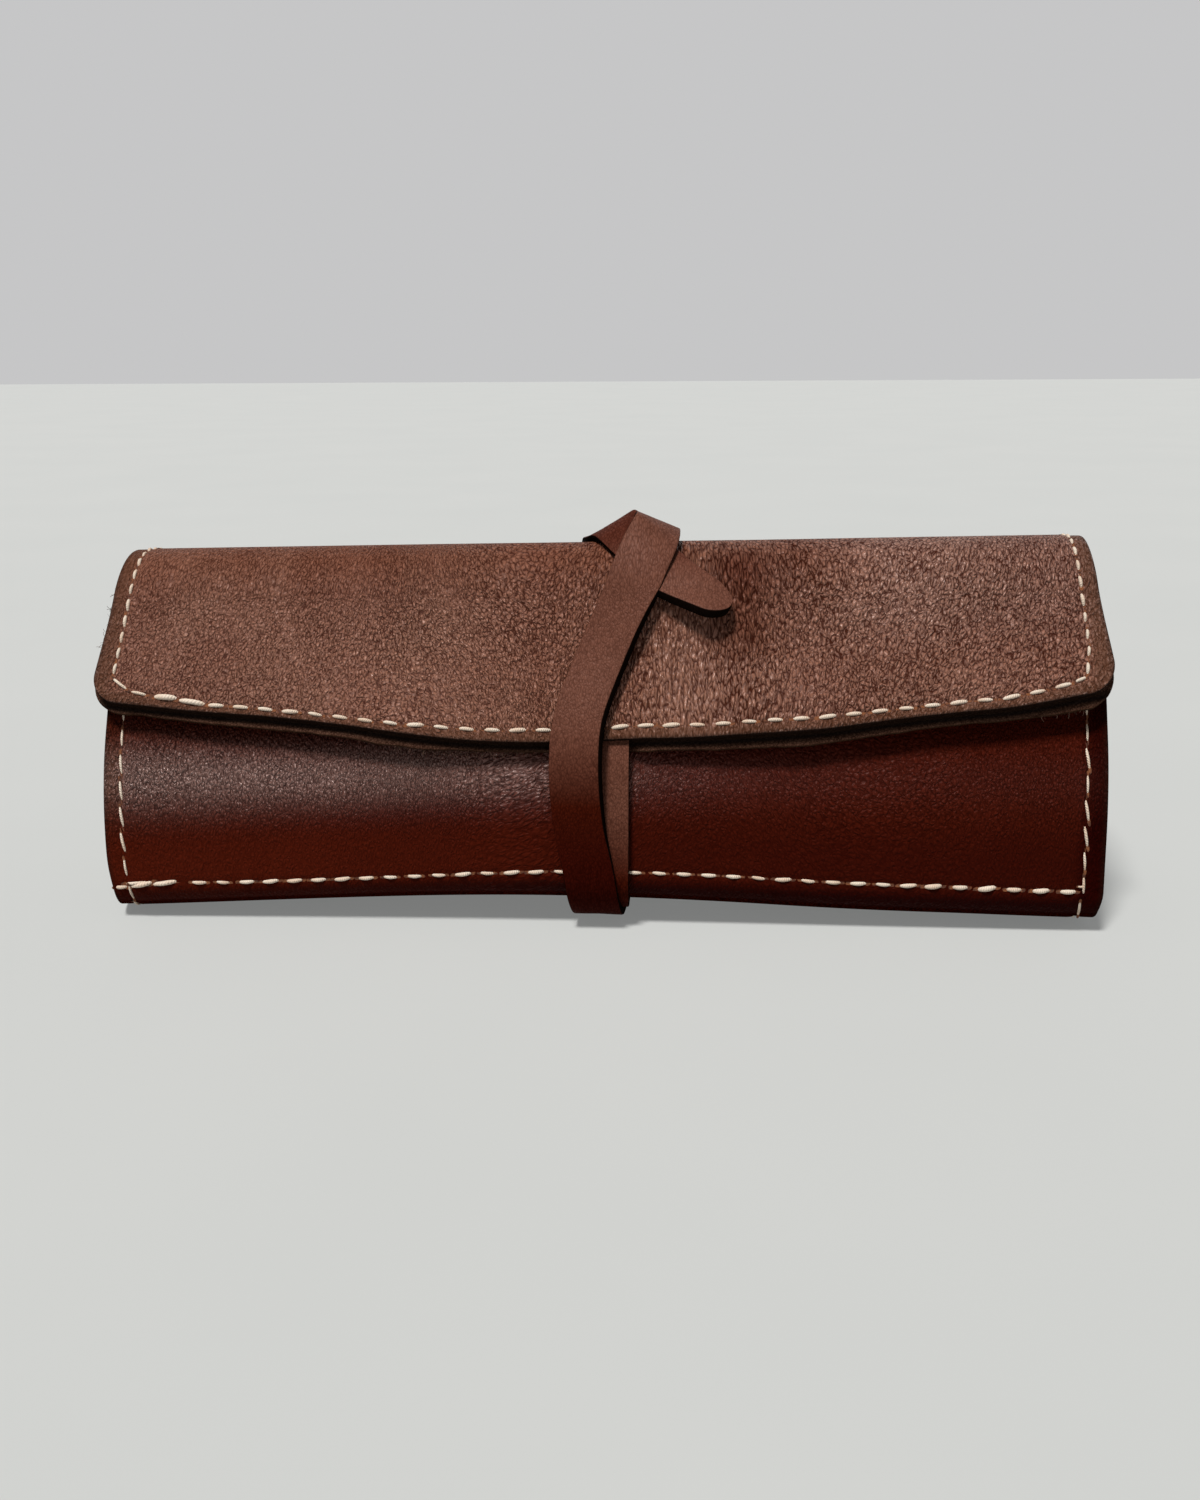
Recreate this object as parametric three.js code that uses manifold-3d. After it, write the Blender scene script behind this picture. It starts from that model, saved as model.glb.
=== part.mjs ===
// A leather jewelry roll, rolled up and tied with its own strap.
// Millimetres, +Z up. X runs along the roll, -Y is the front, and the roll rests on Z = 0.
// The lined leather starts under the flap, goes down the front, back along the base, up the back,
// forward over the top and down again as the flap. The strap is sewn into the middle of the flap's
// edge and goes on round the roll in the same direction, twice, with its tip tucked under itself.
import * as THREE from "three";
import { mergeVertices } from "three/addons/utils/BufferGeometryUtils.js";
import Module from "manifold-3d";

const wasm = await Module();
wasm.setup();

// Driving dimensions

const ROLL_LENGTH = 230;
const ROLL_DEPTH = 61; // outer face of the front to outer face of the back
const ROLL_HEIGHT = 84; // table to the flap's ridge

const OUTER_LEATHER = 1.8;
const LINING_LEATHER = 1.2;
const POCKET_LEATHER = 1;
const GLUE_GAP = 0.3; // between the outer leather and the lining
const FOLD_GAP = 0.4; // between two panels, at their fold

const FRONT_FOLD_RADIUS = 7;
const BACK_FOLD_RADIUS = 13;
const BACK_TOP_RADIUS = 20;
const RIDGE_RADIUS = 14;
const SHOULDER_RADIUS = 60;
const BACK_LEAN = 3; // how far the back's top stands in from its foot
const RIDGE_SETBACK = 26; // ridge behind the foot of the front
const SHOULDER_SETBACK = 3.5; // where the front turns to slope back
const SHOULDER_HEIGHT = 29; // above the base

const FRONT_HEIGHT = 61; // the front's length from its fold to its hidden top edge
const FLAP_EDGE_RISE = 34; // flap's edge above the front fold, at mid-length
const FLAP_SAG = 10.5; // the edge bows down this much at mid-length
const FLAP_CORNER_RADIUS = 7;

const STITCH_INSET = 4.5;
const POCKET_SEAM_RISE = 5.6; // the pocket's bottom seam above the front fold
const THREAD_WIDTH = 0.9;
const THREAD_HEIGHT = 0.5;
const THREAD_GAP = 0.3;

const STRAP_WIDTH = 12.7;
const STRAP_THICKNESS = 1.7;
const STRAP_GAP = 0.45; // to the leather, and between its own layers
const STRAP_ROOT_LENGTH = 13; // skived end, sewn between the flap's two leathers
const STRAP_ROOT_CLEARANCE = 0.4;
const TABLE_GAP = 0.25; // under the lowest layer
const RIDGE_LOOP = 5; // the strap stands this far off the roll where it turns over the ridge

const POCKET_SWELL = 8; // how far a pocket's mouth stands open
const FRONT_POCKET_DEPTH = 44;
const BACK_POCKET_DEPTH = 42;
const BACK_POCKET_RISE = 6; // pocket's bottom above the back fold

const RING_BAR_DIAMETER = 14;
const RING_BAR_LENGTH = 100;
const RING_BAR_SETBACK = 4; // behind the middle of the base, clear of the sloping front
const RING_STRIP_WIDTH = 14;
const RING_STRIP_THICKNESS = 1.4;
const RING_STRIP_END = 18; // flat tab beyond each end of the bar
const ANCHOR_LENGTH = 12;
const SEAT_GAP = 0.3;

const SNAP_CAP_DIAMETER = 10;
const SNAP_CAP_HEIGHT = 1.6;
const SNAP_SHANK_DIAMETER = 4;
const SNAP_SOCKET_DIAMETER = 9;
const SNAP_SOCKET_HEIGHT = 2.2;
const SNAP_KNOB_DIAMETER = 3.4;
const SNAP_KNOB_HEIGHT = 1.5;
const SNAP_STUD_HEIGHT = 0.8;
const SNAP_CLEARANCE = 0.3;

const BELLY_LENGTH = 37; // at each end the base comes down to the table over this length
const BELLY_FLAT = 15; // its level stretch at the very end

// Sizes worked out from those

const half = ROLL_LENGTH / 2;
const sheet = OUTER_LEATHER + GLUE_GAP + LINING_LEATHER;
const threadStack = THREAD_GAP + THREAD_HEIGHT + THREAD_GAP; // what lies over a seam keeps this off
const flapGap = threadStack;
const flapStack = flapGap + sheet;
const strapStep = STRAP_THICKNESS + STRAP_GAP;
const baseLift = TABLE_GAP + 2 * strapStep; // two layers of strap pass under the base

// Outline: the leather's outer face in the YZ plane, walked down the front, back, up and over

const topZ = ROLL_HEIGHT - flapStack;
const frontY = -ROLL_DEPTH / 2;
const backY = ROLL_DEPTH / 2;
const corners = [
  { y: frontY, z: baseLift, r: FRONT_FOLD_RADIUS },
  { y: backY, z: baseLift, r: BACK_FOLD_RADIUS },
  { y: backY - BACK_LEAN, z: topZ, r: BACK_TOP_RADIUS },
  { y: frontY + RIDGE_SETBACK, z: topZ, r: RIDGE_RADIUS },
  { y: frontY + SHOULDER_SETBACK, z: baseLift + SHOULDER_HEIGHT, r: SHOULDER_RADIUS },
];

function roundedArc(index) {
  const at = (i) => {
    const c = corners[(i + corners.length) % corners.length];
    return new THREE.Vector2(c.y, c.z);
  };
  const here = at(index);
  const into = here.clone().sub(at(index - 1)).normalize();
  const out = at(index + 1).sub(here).normalize();
  const start = into.angle() - Math.PI / 2;
  const turn = THREE.MathUtils.euclideanModulo(out.angle() - into.angle(), 2 * Math.PI);
  const radius = corners[index].r;
  const bisector = out.clone().sub(into).normalize();
  const centre = here.clone().addScaledVector(bisector, radius / Math.cos(turn / 2));
  return { centre, radius, start, turn };
}

const outline = new THREE.Path();
const arcs = corners.map((_, i) => roundedArc(i));
const frontFold = arcs[0];
const addArc = (arc, from, to) => {
  const [first, last] = [from, to].map((part) => arc.start + part * arc.turn);
  outline.absarc(arc.centre.x, arc.centre.y, arc.radius, first, last);
};
addArc(frontFold, 0.5, 1);
arcs.slice(1).forEach((arc) => addArc(arc, 0, 1));
addArc(frontFold, 0, 0.5);

const lengths = outline.getCurveLengths();
const around = lengths.at(-1);
const arcMiddle = (curve) => (lengths[curve - 1] + lengths[curve]) / 2;

// Places along the outline: the middles of the four folds, counted from the front fold
const backFold = arcMiddle(2);
const backTop = arcMiddle(4);
const ridge = arcMiddle(6);
const flapEdge = around - FLAP_EDGE_RISE;

// The point at s along the outline, offset outwards, at x along the roll.
function place(s, x, offset) {
  const u = THREE.MathUtils.euclideanModulo(s, around) / around;
  const p = outline.getPoint(u);
  const t = outline.getTangent(u);
  return new THREE.Vector3(x, p.x + t.y * offset, p.y - t.x * offset);
}

// Shapes

// A closed slab: at(u, v, face) gives its inner (face 0) and outer (face 1) grids.
function slab(us, vs, at) {
  const wide = us.length;
  const count = wide * vs.length;
  const points = [0, 1].flatMap((face) => vs.flatMap((v) => us.map((u) => at(u, v, face))));
  const indices = [];
  const quad = (a, b, c, d) => indices.push(a, b, c, a, c, d);
  const id = (i, j, face) => face * count + j * wide + i;
  for (let j = 0; j + 1 < vs.length; j++) {
    for (let i = 0; i + 1 < wide; i++) {
      quad(id(i, j, 1), id(i + 1, j, 1), id(i + 1, j + 1, 1), id(i, j + 1, 1));
      quad(id(i, j, 0), id(i, j + 1, 0), id(i + 1, j + 1, 0), id(i + 1, j, 0));
    }
  }
  const rim = [
    ...us.slice(0, -1).map((_, i) => [i, 0]),
    ...vs.slice(0, -1).map((_, j) => [wide - 1, j]),
    ...us.slice(1).map((_, i) => [wide - 1 - i, vs.length - 1]),
    ...vs.slice(1).map((_, j) => [0, vs.length - 1 - j]),
  ];
  rim.forEach(([i, j], n) => {
    const [k, l] = rim[(n + 1) % rim.length];
    quad(id(i, j, 0), id(k, l, 0), id(k, l, 1), id(i, j, 1));
  });
  const geometry = new THREE.BufferGeometry().setFromPoints(points).setIndex(indices);
  return volumeOf(geometry) < 0 ? turnedOut(geometry) : geometry;
}

function volumeOf(geometry) {
  const position = geometry.getAttribute("position");
  const corner = [0, 1, 2].map(() => new THREE.Vector3());
  const index = geometry.index.array;
  let sum = 0;
  for (let i = 0; i < index.length; i += 3) {
    corner.forEach((p, k) => p.fromBufferAttribute(position, index[i + k]));
    sum += corner[0].dot(corner[1].cross(corner[2])) / 6;
  }
  return sum;
}

function turnedOut(geometry) {
  return geometry.setIndex([...geometry.index.array].reverse());
}

function solidOf(geometry) {
  const bare = geometry.clone();
  bare.deleteAttribute("normal");
  bare.deleteAttribute("uv");
  const merged = mergeVertices(bare, 1e-4);
  return new wasm.Manifold(
    new wasm.Mesh({
      numProp: 3,
      vertProperties: merged.attributes.position.array,
      triVerts: new Uint32Array(merged.index.array),
    }),
  );
}

function cut(geometry, tool) {
  const mesh = solidOf(geometry).subtract(solidOf(tool)).getMesh();
  return new THREE.BufferGeometry()
    .setAttribute("position", new THREE.BufferAttribute(mesh.vertProperties, 3))
    .setIndex(new THREE.BufferAttribute(mesh.triVerts, 1));
}

function steps(from, to, count) {
  return Array.from({ length: count + 1 }, (_, i) => from + ((to - from) * i) / count);
}

// Stations between two places on the outline: a few across each fold or curve, none on a straight.
const FOLD_STEPS = 5;
function stations(from, to) {
  const bounds = lengths.flatMap((end, curve) => {
    const start = curve ? lengths[curve - 1] : 0;
    return curve % 2 ? [] : steps(start, end, FOLD_STEPS);
  });
  const turns = [-1, 0, 1].flatMap((turn) => bounds.map((s) => s + turn * around));
  const between = turns.filter((s) => s > from + FOLD_GAP && s < to - FOLD_GAP);
  return [from, ...between, to];
}

// A ribbon along a route of (s, x, inner offset), bent over the outline across its width too.
function ribbon(route, stops, width, thickness, halfWidth = () => width / 2) {
  const at = (side, t, face) => {
    const here = route.getPoint(t);
    const along = route.getTangent(t);
    const across = new THREE.Vector2(-along.y, along.x).normalize();
    const reach = side * halfWidth(t);
    return place(here.x + across.x * reach, here.y + across.y * reach, here.z + face * thickness);
  };
  return slab([-1, 0, 1], stops, at);
}

// Materials

const leather = (colour, roughness) => new THREE.MeshStandardMaterial({ color: colour, roughness });
const OUTER = leather(0x5a2a1c, 0.5);
const LINING = leather(0x6b4030, 0.85);
const STRAP = leather(0x4a271c, 0.55);
const RING_LEATHER = leather(0x643323, 0.7);
const THREAD = new THREE.MeshStandardMaterial({ color: 0xe9dcc3, roughness: 0.8 });
const BRASS = new THREE.MeshStandardMaterial({ color: 0xa98445, roughness: 0.35, metalness: 1 });

const roll = new THREE.Group();
const panels = Object.fromEntries(
  ["base", "front", "back", "top", "flap", "strap", "ring_bar"].map((name) => {
    const group = new THREE.Group();
    roll.add(group);
    return [name, group];
  }),
);

function add(group, name, geometry, material) {
  const mesh = new THREE.Mesh(geometry, material);
  mesh.name = name;
  group.add(mesh);
  return mesh;
}

// The lined leather, panel by panel

const layers = [
  { name: "outer", inner: -OUTER_LEATHER, thickness: OUTER_LEATHER, material: OUTER },
  { name: "lining", inner: -sheet, thickness: LINING_LEATHER, material: LINING },
];

// The base swells down to the table at both ends, where no strap holds it up.
function belly(x, s) {
  const fromEnd = (half - Math.abs(x) - BELLY_FLAT) / (BELLY_LENGTH - BELLY_FLAT);
  const along = THREE.MathUtils.clamp(s / backFold, 0, 1);
  const fromFold = THREE.MathUtils.smoothstep(Math.min(along, 1 - along), 0.05, 0.35);
  return baseLift * THREE.MathUtils.smoothstep(1 - fromEnd, 0, 1) * fromFold;
}

// The sheet steps out over the top, from the back's level to the flap's.
const stepOut = (s) => flapStack * THREE.MathUtils.clamp((s - backTop) / (ridge - backTop), 0, 1);

const edgeToEdge = [-half, half];
const bellyEnds = steps(half - BELLY_LENGTH, half - BELLY_FLAT, 3);
const baseColumns = [-half, ...bellyEnds.map((x) => -x).reverse(), ...bellyEnds, half];
const baseRows = [
  ...stations(FOLD_GAP / 2, backFold - FOLD_GAP / 2),
  ...steps(0.05 * backFold, 0.95 * backFold, 9),
].sort((a, b) => a - b);

// Under the base the seams lie in grooves, so that the leather and not the thread meets the table.
const groove = THREAD_GAP + THREAD_HEIGHT;
const grooveWidth = THREAD_WIDTH + 2 * THREAD_GAP;
const grooves = [-1, 1].map((side) => {
  const middle = side * (half - STITCH_INSET);
  const depth = (face) => (face ? THREAD_WIDTH : -groove);
  return slab([middle - grooveWidth / 2, middle + grooveWidth / 2], baseRows, (x, s, face) =>
    place(s, x, belly(x, s) + depth(face)),
  );
});

for (const { name, inner, thickness, material } of layers) {
  const offset = (face) => inner + face * thickness;
  const panel = (group, columns, rows, lift) => {
    const whole = slab(columns, rows, (x, s, face) => place(s, x, offset(face) + lift(x, s)));
    const grooved = name === "outer" && group === "base";
    add(panels[group], `${name}_${group}`, grooved ? grooves.reduce(cut, whole) : whole, material);
  };
  panel("front", edgeToEdge, stations(-FRONT_HEIGHT, -FOLD_GAP / 2), () => 0);
  panel("base", baseColumns, baseRows, belly);
  panel("back", edgeToEdge, stations(backFold + FOLD_GAP / 2, backTop - FOLD_GAP / 2), () => 0);
  panel("top", edgeToEdge, stations(backTop + FOLD_GAP / 2, ridge - FOLD_GAP / 2), (x, s) => stepOut(s));
}

// Flap: its edge bows down at mid-length and its corners are round.
function flapEnd(x) {
  const intoCorner = Math.max(0, Math.abs(x) - (half - FLAP_CORNER_RADIUS));
  const rounding = FLAP_CORNER_RADIUS - Math.sqrt(Math.max(0, FLAP_CORNER_RADIUS ** 2 - intoCorner ** 2));
  return flapEdge - FLAP_SAG * (x / half) ** 2 - rounding;
}

const FLAP_COLUMNS = 24;
const flapColumns = steps(-0.5, 0.5, FLAP_COLUMNS).map((u) => half * Math.sin(Math.PI * u));
const flapRows = stations(ridge + FOLD_GAP / 2, flapEdge).map((s) => (s - ridge) / (flapEdge - ridge));
function flapLayer(inner, thickness) {
  return slab(flapColumns, flapRows, (x, v, face) =>
    place(ridge + v * (flapEnd(x) - ridge), x, flapStack + inner + face * thickness),
  );
}
add(panels.flap, "outer_flap", flapLayer(-OUTER_LEATHER, OUTER_LEATHER), OUTER);

const notchHalf = STRAP_WIDTH / 2 + STRAP_ROOT_CLEARANCE;
const notchFaces = [flapGap - STRAP_ROOT_CLEARANCE, flapGap + LINING_LEATHER + GLUE_GAP];
const notch = slab(
  [-notchHalf, notchHalf],
  stations(flapEdge - STRAP_ROOT_LENGTH - STRAP_ROOT_CLEARANCE, flapEdge + STRAP_ROOT_CLEARANCE),
  (x, s, face) => place(s, x, notchFaces[face]),
);
add(panels.flap, "lining_flap", cut(flapLayer(-sheet, LINING_LEATHER), notch), LINING);

// Pockets: a leather panel inside the lining, sewn at its foot and sides, standing open at its mouth

function pocket(foot, mouth) {
  const columns = steps(-1, 1, 8).map((u) => u * (half - STITCH_INSET));
  const rows = stations(Math.min(foot, mouth), Math.max(foot, mouth));
  const at = (x, s, face) => {
    const open = THREE.MathUtils.clamp((s - foot) / (mouth - foot), 0, 1);
    const middle = Math.cos((Math.PI / 2) * (x / (half - STITCH_INSET)) ** 4);
    const inner = -sheet - GLUE_GAP - POCKET_LEATHER - POCKET_SWELL * Math.sqrt(open) * middle;
    return place(s, x, inner + face * POCKET_LEATHER);
  };
  return slab(columns, [...rows, ...steps(foot, mouth, 6).slice(1, -1)].sort((a, b) => a - b), at);
}
add(panels.front, "pocket_front", pocket(-POCKET_SEAM_RISE, -POCKET_SEAM_RISE - FRONT_POCKET_DEPTH), LINING);
const backPocketFoot = backFold + BACK_POCKET_RISE;
add(panels.back, "pocket_back", pocket(backPocketFoot, backPocketFoot + BACK_POCKET_DEPTH), LINING);

// Seams: the thread stands a little proud of the outer face

const seamLine = (points) => {
  const path = new THREE.CurvePath();
  points.slice(1).forEach((p, i) => path.add(new THREE.LineCurve3(points[i], p)));
  return path;
};
const seamPoint = (s, x, face = 0) => new THREE.Vector3(s, x, face + THREAD_GAP);
const SEAM_STEP_ROUND = 3; // along the outline, where it bends
const SEAM_STEP_LONG = 12; // along the roll
function addSeam(group, name, points) {
  const line = seamLine(points);
  const ends = [0, ...line.getCurveLengths()].map((length) => length / line.getLength());
  const stops = points.slice(1).flatMap((p, i) => {
    const apart = p.clone().sub(points[i]);
    const count = Math.ceil(Math.abs(apart.x) / SEAM_STEP_ROUND + Math.abs(apart.y) / SEAM_STEP_LONG);
    return steps(ends[i], ends[i + 1], count).slice(1);
  });
  add(panels[group], name, ribbon(line, [0, ...stops], THREAD_WIDTH, THREAD_HEIGHT), THREAD);
}
const seamX = half - STITCH_INSET;
const topSeam = -FRONT_HEIGHT + STITCH_INSET;
addSeam("front", "seam_front", [
  seamPoint(-POCKET_SEAM_RISE - THREAD_WIDTH, -seamX),
  seamPoint(topSeam, -seamX),
  seamPoint(topSeam, seamX),
  seamPoint(-POCKET_SEAM_RISE - THREAD_WIDTH, seamX),
]);
addSeam("front", "seam_pocket", [
  seamPoint(-POCKET_SEAM_RISE, -half + 1),
  seamPoint(-POCKET_SEAM_RISE, half - 1),
]);
for (const [side, x] of [["left", -seamX], ["right", seamX]]) {
  const along = (from, to, face) => steps(from + 1, to - 1, 8).map((s) => seamPoint(s, x, face(s)));
  addSeam("base", `seam_base_${side}`, along(0, backFold, (s) => belly(x, s) - groove));
  addSeam("back", `seam_back_${side}`, along(backFold, backTop, () => 0));
  addSeam("top", `seam_top_${side}`, along(backTop, ridge, stepOut));
}
const edgeSeam = steps(-1, 1, 20).map((u) => {
  const x = u * seamX;
  return seamPoint(flapEdge - STITCH_INSET - FLAP_SAG * (x / half) ** 2, x, flapStack);
});
addSeam("flap", "seam_flap", [
  seamPoint(ridge + 1, -seamX, flapStack),
  ...edgeSeam,
  seamPoint(ridge + 1, seamX, flapStack),
]);

// The strap: one unbroken band, twice round the roll, named here by its lengths between folds

// Route through (place along the outline, place along the roll, what lies under it)
const overSeam = threadStack;
const secondLayer = overSeam + strapStep;
const turn = (count, s) => count * around + s;
const routePoints = [
  [flapEdge, 0, flapGap],
  [around - 16, 0, overSeam],
  [around - 7, 0, overSeam],
  [turn(1, 6), 0, STRAP_GAP],
  [turn(1, backFold / 2), 1, STRAP_GAP],
  [turn(1, backFold - 6), 2, STRAP_GAP],
  [turn(1, backFold + 14), 5, STRAP_GAP],
  [turn(1, backTop - 16), 12.5, STRAP_GAP],
  [turn(1, backTop), 14, STRAP_GAP + 1.2],
  [turn(1, (backTop + ridge) / 2), 14, flapStack / 2 + STRAP_GAP + RIDGE_LOOP],
  [turn(1, ridge), 13, flapStack + STRAP_GAP + strapStep + RIDGE_LOOP / 2],
  [turn(1, ridge + 12), 8.5, flapStack + STRAP_GAP + strapStep + 0.4],
  [turn(1, ridge + 24), 2, flapStack + overSeam + 1],
  [turn(1, flapEdge - 6), -5, flapStack + overSeam],
  [turn(1, flapEdge + 4), -6.8, flapStack + 0.4],
  [turn(1, around - 16), -5.5, secondLayer],
  [turn(1, around - 7), -3.5, secondLayer],
  [turn(2, 6), -2, STRAP_GAP + strapStep],
  [turn(2, backFold / 2), -1.5, STRAP_GAP + strapStep],
  [turn(2, backFold - 6), -1.5, STRAP_GAP + strapStep],
  [turn(2, backFold + 14), -1.5, STRAP_GAP + strapStep],
  [turn(2, backTop - 16), -1.5, STRAP_GAP + strapStep],
  [turn(2, backTop), -1.5, STRAP_GAP + 1.2],
  [turn(2, (backTop + ridge) / 2), -1, flapStack / 2 + STRAP_GAP + 1],
  [turn(2, ridge - 2), 2, flapStack + STRAP_GAP],
  [turn(2, ridge + 7), 13, flapStack + STRAP_GAP],
  [turn(2, ridge + 17), 26, flapStack + STRAP_GAP],
].map((p) => new THREE.Vector3(...p));
const strapRoute = new THREE.CatmullRomCurve3(routePoints, false, "centripetal");

// The route's parameter at a place along the outline, which only ever grows along it
function routeAt(s) {
  let [low, high] = [0, 1];
  for (let i = 0; i < 40; i++) {
    const middle = (low + high) / 2;
    if (strapRoute.getPoint(middle).x < s) low = middle;
    else high = middle;
  }
  return (low + high) / 2;
}

const strapRuns = [
  { name: "strap_front_run", from: flapEdge + FOLD_GAP / 2, to: around },
  { name: "strap_base_run", from: around, to: turn(1, backFold) },
  { name: "strap_back_run", from: turn(1, backFold), to: turn(1, backTop) },
  { name: "strap_top_run", from: turn(1, backTop), to: turn(1, ridge) },
  { name: "strap_cross_run", from: turn(1, ridge), to: turn(2, 0) },
  { name: "strap_base_outer_run", from: turn(2, 0), to: turn(2, backFold) },
  { name: "strap_back_outer_run", from: turn(2, backFold), to: turn(2, backTop) },
  { name: "strap_top_outer_run", from: turn(2, backTop), to: turn(2, ridge) },
  { name: "strap_tip", from: turn(2, ridge), to: routePoints.at(-1).x },
];
const STRAP_STEP_LENGTH = 3;
const tipStart = strapRoute.getLength() - STRAP_WIDTH / 2;
const tipHalfWidth = (t) => {
  const into = Math.max(0, strapRoute.getLengths(400)[Math.round(t * 400)] - tipStart);
  return Math.sqrt(Math.max(1, (STRAP_WIDTH / 2) ** 2 - into ** 2));
};
for (const run of strapRuns) {
  const last = run === strapRuns.at(-1);
  const from = routeAt(run.from + FOLD_GAP / 2);
  const to = last ? 1 : routeAt(run.to - FOLD_GAP / 2);
  const count = Math.ceil((run.to - run.from) / STRAP_STEP_LENGTH) * (last ? 2 : 1);
  const halfWidth = last ? tipHalfWidth : () => STRAP_WIDTH / 2;
  const band = ribbon(strapRoute, steps(from, to, count), STRAP_WIDTH, STRAP_THICKNESS, halfWidth);
  add(panels.strap, run.name, band, STRAP);
}

// The strap's skived end lies in the lining's notch, against the flap's outer leather.
const rootRoute = new THREE.LineCurve3(
  new THREE.Vector3(flapEdge - STRAP_ROOT_LENGTH, 0, flapGap),
  new THREE.Vector3(flapEdge - FOLD_GAP / 2, 0, flapGap),
);
add(panels.flap, "strap_root", ribbon(rootRoute, steps(0, 1, 4), STRAP_WIDTH, LINING_LEATHER), STRAP);

// The least gap between one layer of the strap and another, on points of its two faces
function leastStrapGap() {
  const spread = (face) =>
    steps(0, 1, 300).map((t) => {
      const p = strapRoute.getPoint(t);
      return { s: p.x, at: [-1, 0, 1].map((side) => place(p.x, p.y + (side * STRAP_WIDTH) / 2, p.z + face)) };
    });
  const inner = spread(0);
  const outer = spread(STRAP_THICKNESS);
  let least = Infinity;
  for (const a of inner) {
    for (const b of outer) {
      if (Math.abs(a.s - b.s) < around / 2) continue;
      const apart = a.at.flatMap((p) => b.at.map((q) => p.distanceTo(q)));
      least = Math.min(least, ...apart);
    }
  }
  return least;
}
console.log(`strap: least gap between its layers ${leastStrapGap().toFixed(2)} mm`);

// Ring bar: a stuffed bar on a strip, sewn down at one end and held by a press stud at the other

const liningTop = baseLift + sheet;
const stripEnd = RING_BAR_LENGTH / 2 + RING_STRIP_END;
const hingeX = ANCHOR_LENGTH - stripEnd;
const snapX = stripEnd - RING_STRIP_WIDTH / 2;
const studTop = liningTop + SEAT_GAP + SNAP_STUD_HEIGHT;
const socketBottom = studTop + SNAP_CLEARANCE;
const stripBottom = socketBottom + SNAP_SOCKET_HEIGHT + SEAT_GAP;
const stripTop = stripBottom + RING_STRIP_THICKNESS;

const stripBox = (from, to, bottom) => {
  const box = new THREE.BoxGeometry(to - from, RING_STRIP_WIDTH, RING_STRIP_THICKNESS);
  return box.translate((from + to) / 2, RING_BAR_SETBACK, bottom + RING_STRIP_THICKNESS / 2);
};
const lathe = (profile) =>
  new THREE.LatheGeometry(profile.map(([r, h]) => new THREE.Vector2(r, h)), 24).rotateX(Math.PI / 2);

const snapHole = new THREE.CylinderGeometry(
  SNAP_SHANK_DIAMETER / 2 + SNAP_CLEARANCE,
  SNAP_SHANK_DIAMETER / 2 + SNAP_CLEARANCE,
  4 * RING_STRIP_THICKNESS,
  24,
)
  .rotateX(Math.PI / 2)
  .translate(snapX, RING_BAR_SETBACK, stripTop);
const strip = cut(stripBox(hingeX + FOLD_GAP, stripEnd, stripBottom), snapHole);
add(panels.ring_bar, "ring_bar_strip", strip, RING_LEATHER);

const barRadius = RING_BAR_DIAMETER / 2;
const capArc = steps(0, Math.PI / 2, 6);
const barProfile = [
  ...capArc.map((a) => [barRadius * Math.sin(a), barRadius * (1 - Math.cos(a))]),
  ...capArc.reverse().map((a) => [barRadius * Math.sin(a), RING_BAR_LENGTH - barRadius * (1 - Math.cos(a))]),
];
const bar = add(panels.ring_bar, "ring_bar", lathe(barProfile).rotateY(Math.PI / 2), RING_LEATHER);
bar.position.set(-RING_BAR_LENGTH / 2, RING_BAR_SETBACK, stripTop + SEAT_GAP + barRadius);

// The anchor tab is a wedge of leather from the lining up to the strip's sewn end.
const anchorBottom = liningTop + SEAT_GAP;
const anchor = new THREE.BoxGeometry(ANCHOR_LENGTH - FOLD_GAP, RING_STRIP_WIDTH, stripTop - anchorBottom);
add(panels.base, "ring_bar_anchor", anchor, RING_LEATHER).position.set(
  hingeX - ANCHOR_LENGTH / 2,
  RING_BAR_SETBACK,
  (stripTop + anchorBottom) / 2,
);

// Press stud: cap and shank through the strip, socket under it, stud and its base on the lining
const shank = SNAP_SHANK_DIAMETER / 2;
const snapParts = [
  ["snap_cap", "ring_bar", stripTop + SEAT_GAP, [
    [0, -RING_STRIP_THICKNESS - SEAT_GAP],
    [shank, -RING_STRIP_THICKNESS - SEAT_GAP],
    [shank, 0],
    [SNAP_CAP_DIAMETER / 2, 0],
    [SNAP_CAP_DIAMETER / 2 - 0.4, SNAP_CAP_HEIGHT * 0.6],
    [SNAP_CAP_DIAMETER / 4, SNAP_CAP_HEIGHT],
    [0, SNAP_CAP_HEIGHT],
  ]],
  ["snap_socket", "ring_bar", socketBottom, [
    [0, SNAP_KNOB_HEIGHT],
    [SNAP_KNOB_DIAMETER / 2 + SNAP_CLEARANCE, SNAP_KNOB_HEIGHT],
    [SNAP_KNOB_DIAMETER / 2 + SNAP_CLEARANCE, 0],
    [SNAP_SOCKET_DIAMETER / 2, 0],
    [SNAP_SOCKET_DIAMETER / 2, SNAP_SOCKET_HEIGHT - 0.6],
    [SNAP_SOCKET_DIAMETER / 2 - 0.8, SNAP_SOCKET_HEIGHT],
    [0, SNAP_SOCKET_HEIGHT],
  ]],
  ["snap_stud", "base", liningTop + SEAT_GAP, [
    [0, 0],
    [SNAP_SOCKET_DIAMETER / 2, 0],
    [SNAP_SOCKET_DIAMETER / 2, SNAP_STUD_HEIGHT],
    [SNAP_KNOB_DIAMETER / 2, SNAP_STUD_HEIGHT],
    [SNAP_KNOB_DIAMETER / 2, SNAP_STUD_HEIGHT + SNAP_KNOB_HEIGHT - SNAP_CLEARANCE],
    [0, SNAP_STUD_HEIGHT + SNAP_KNOB_HEIGHT],
  ]],
];
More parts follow.
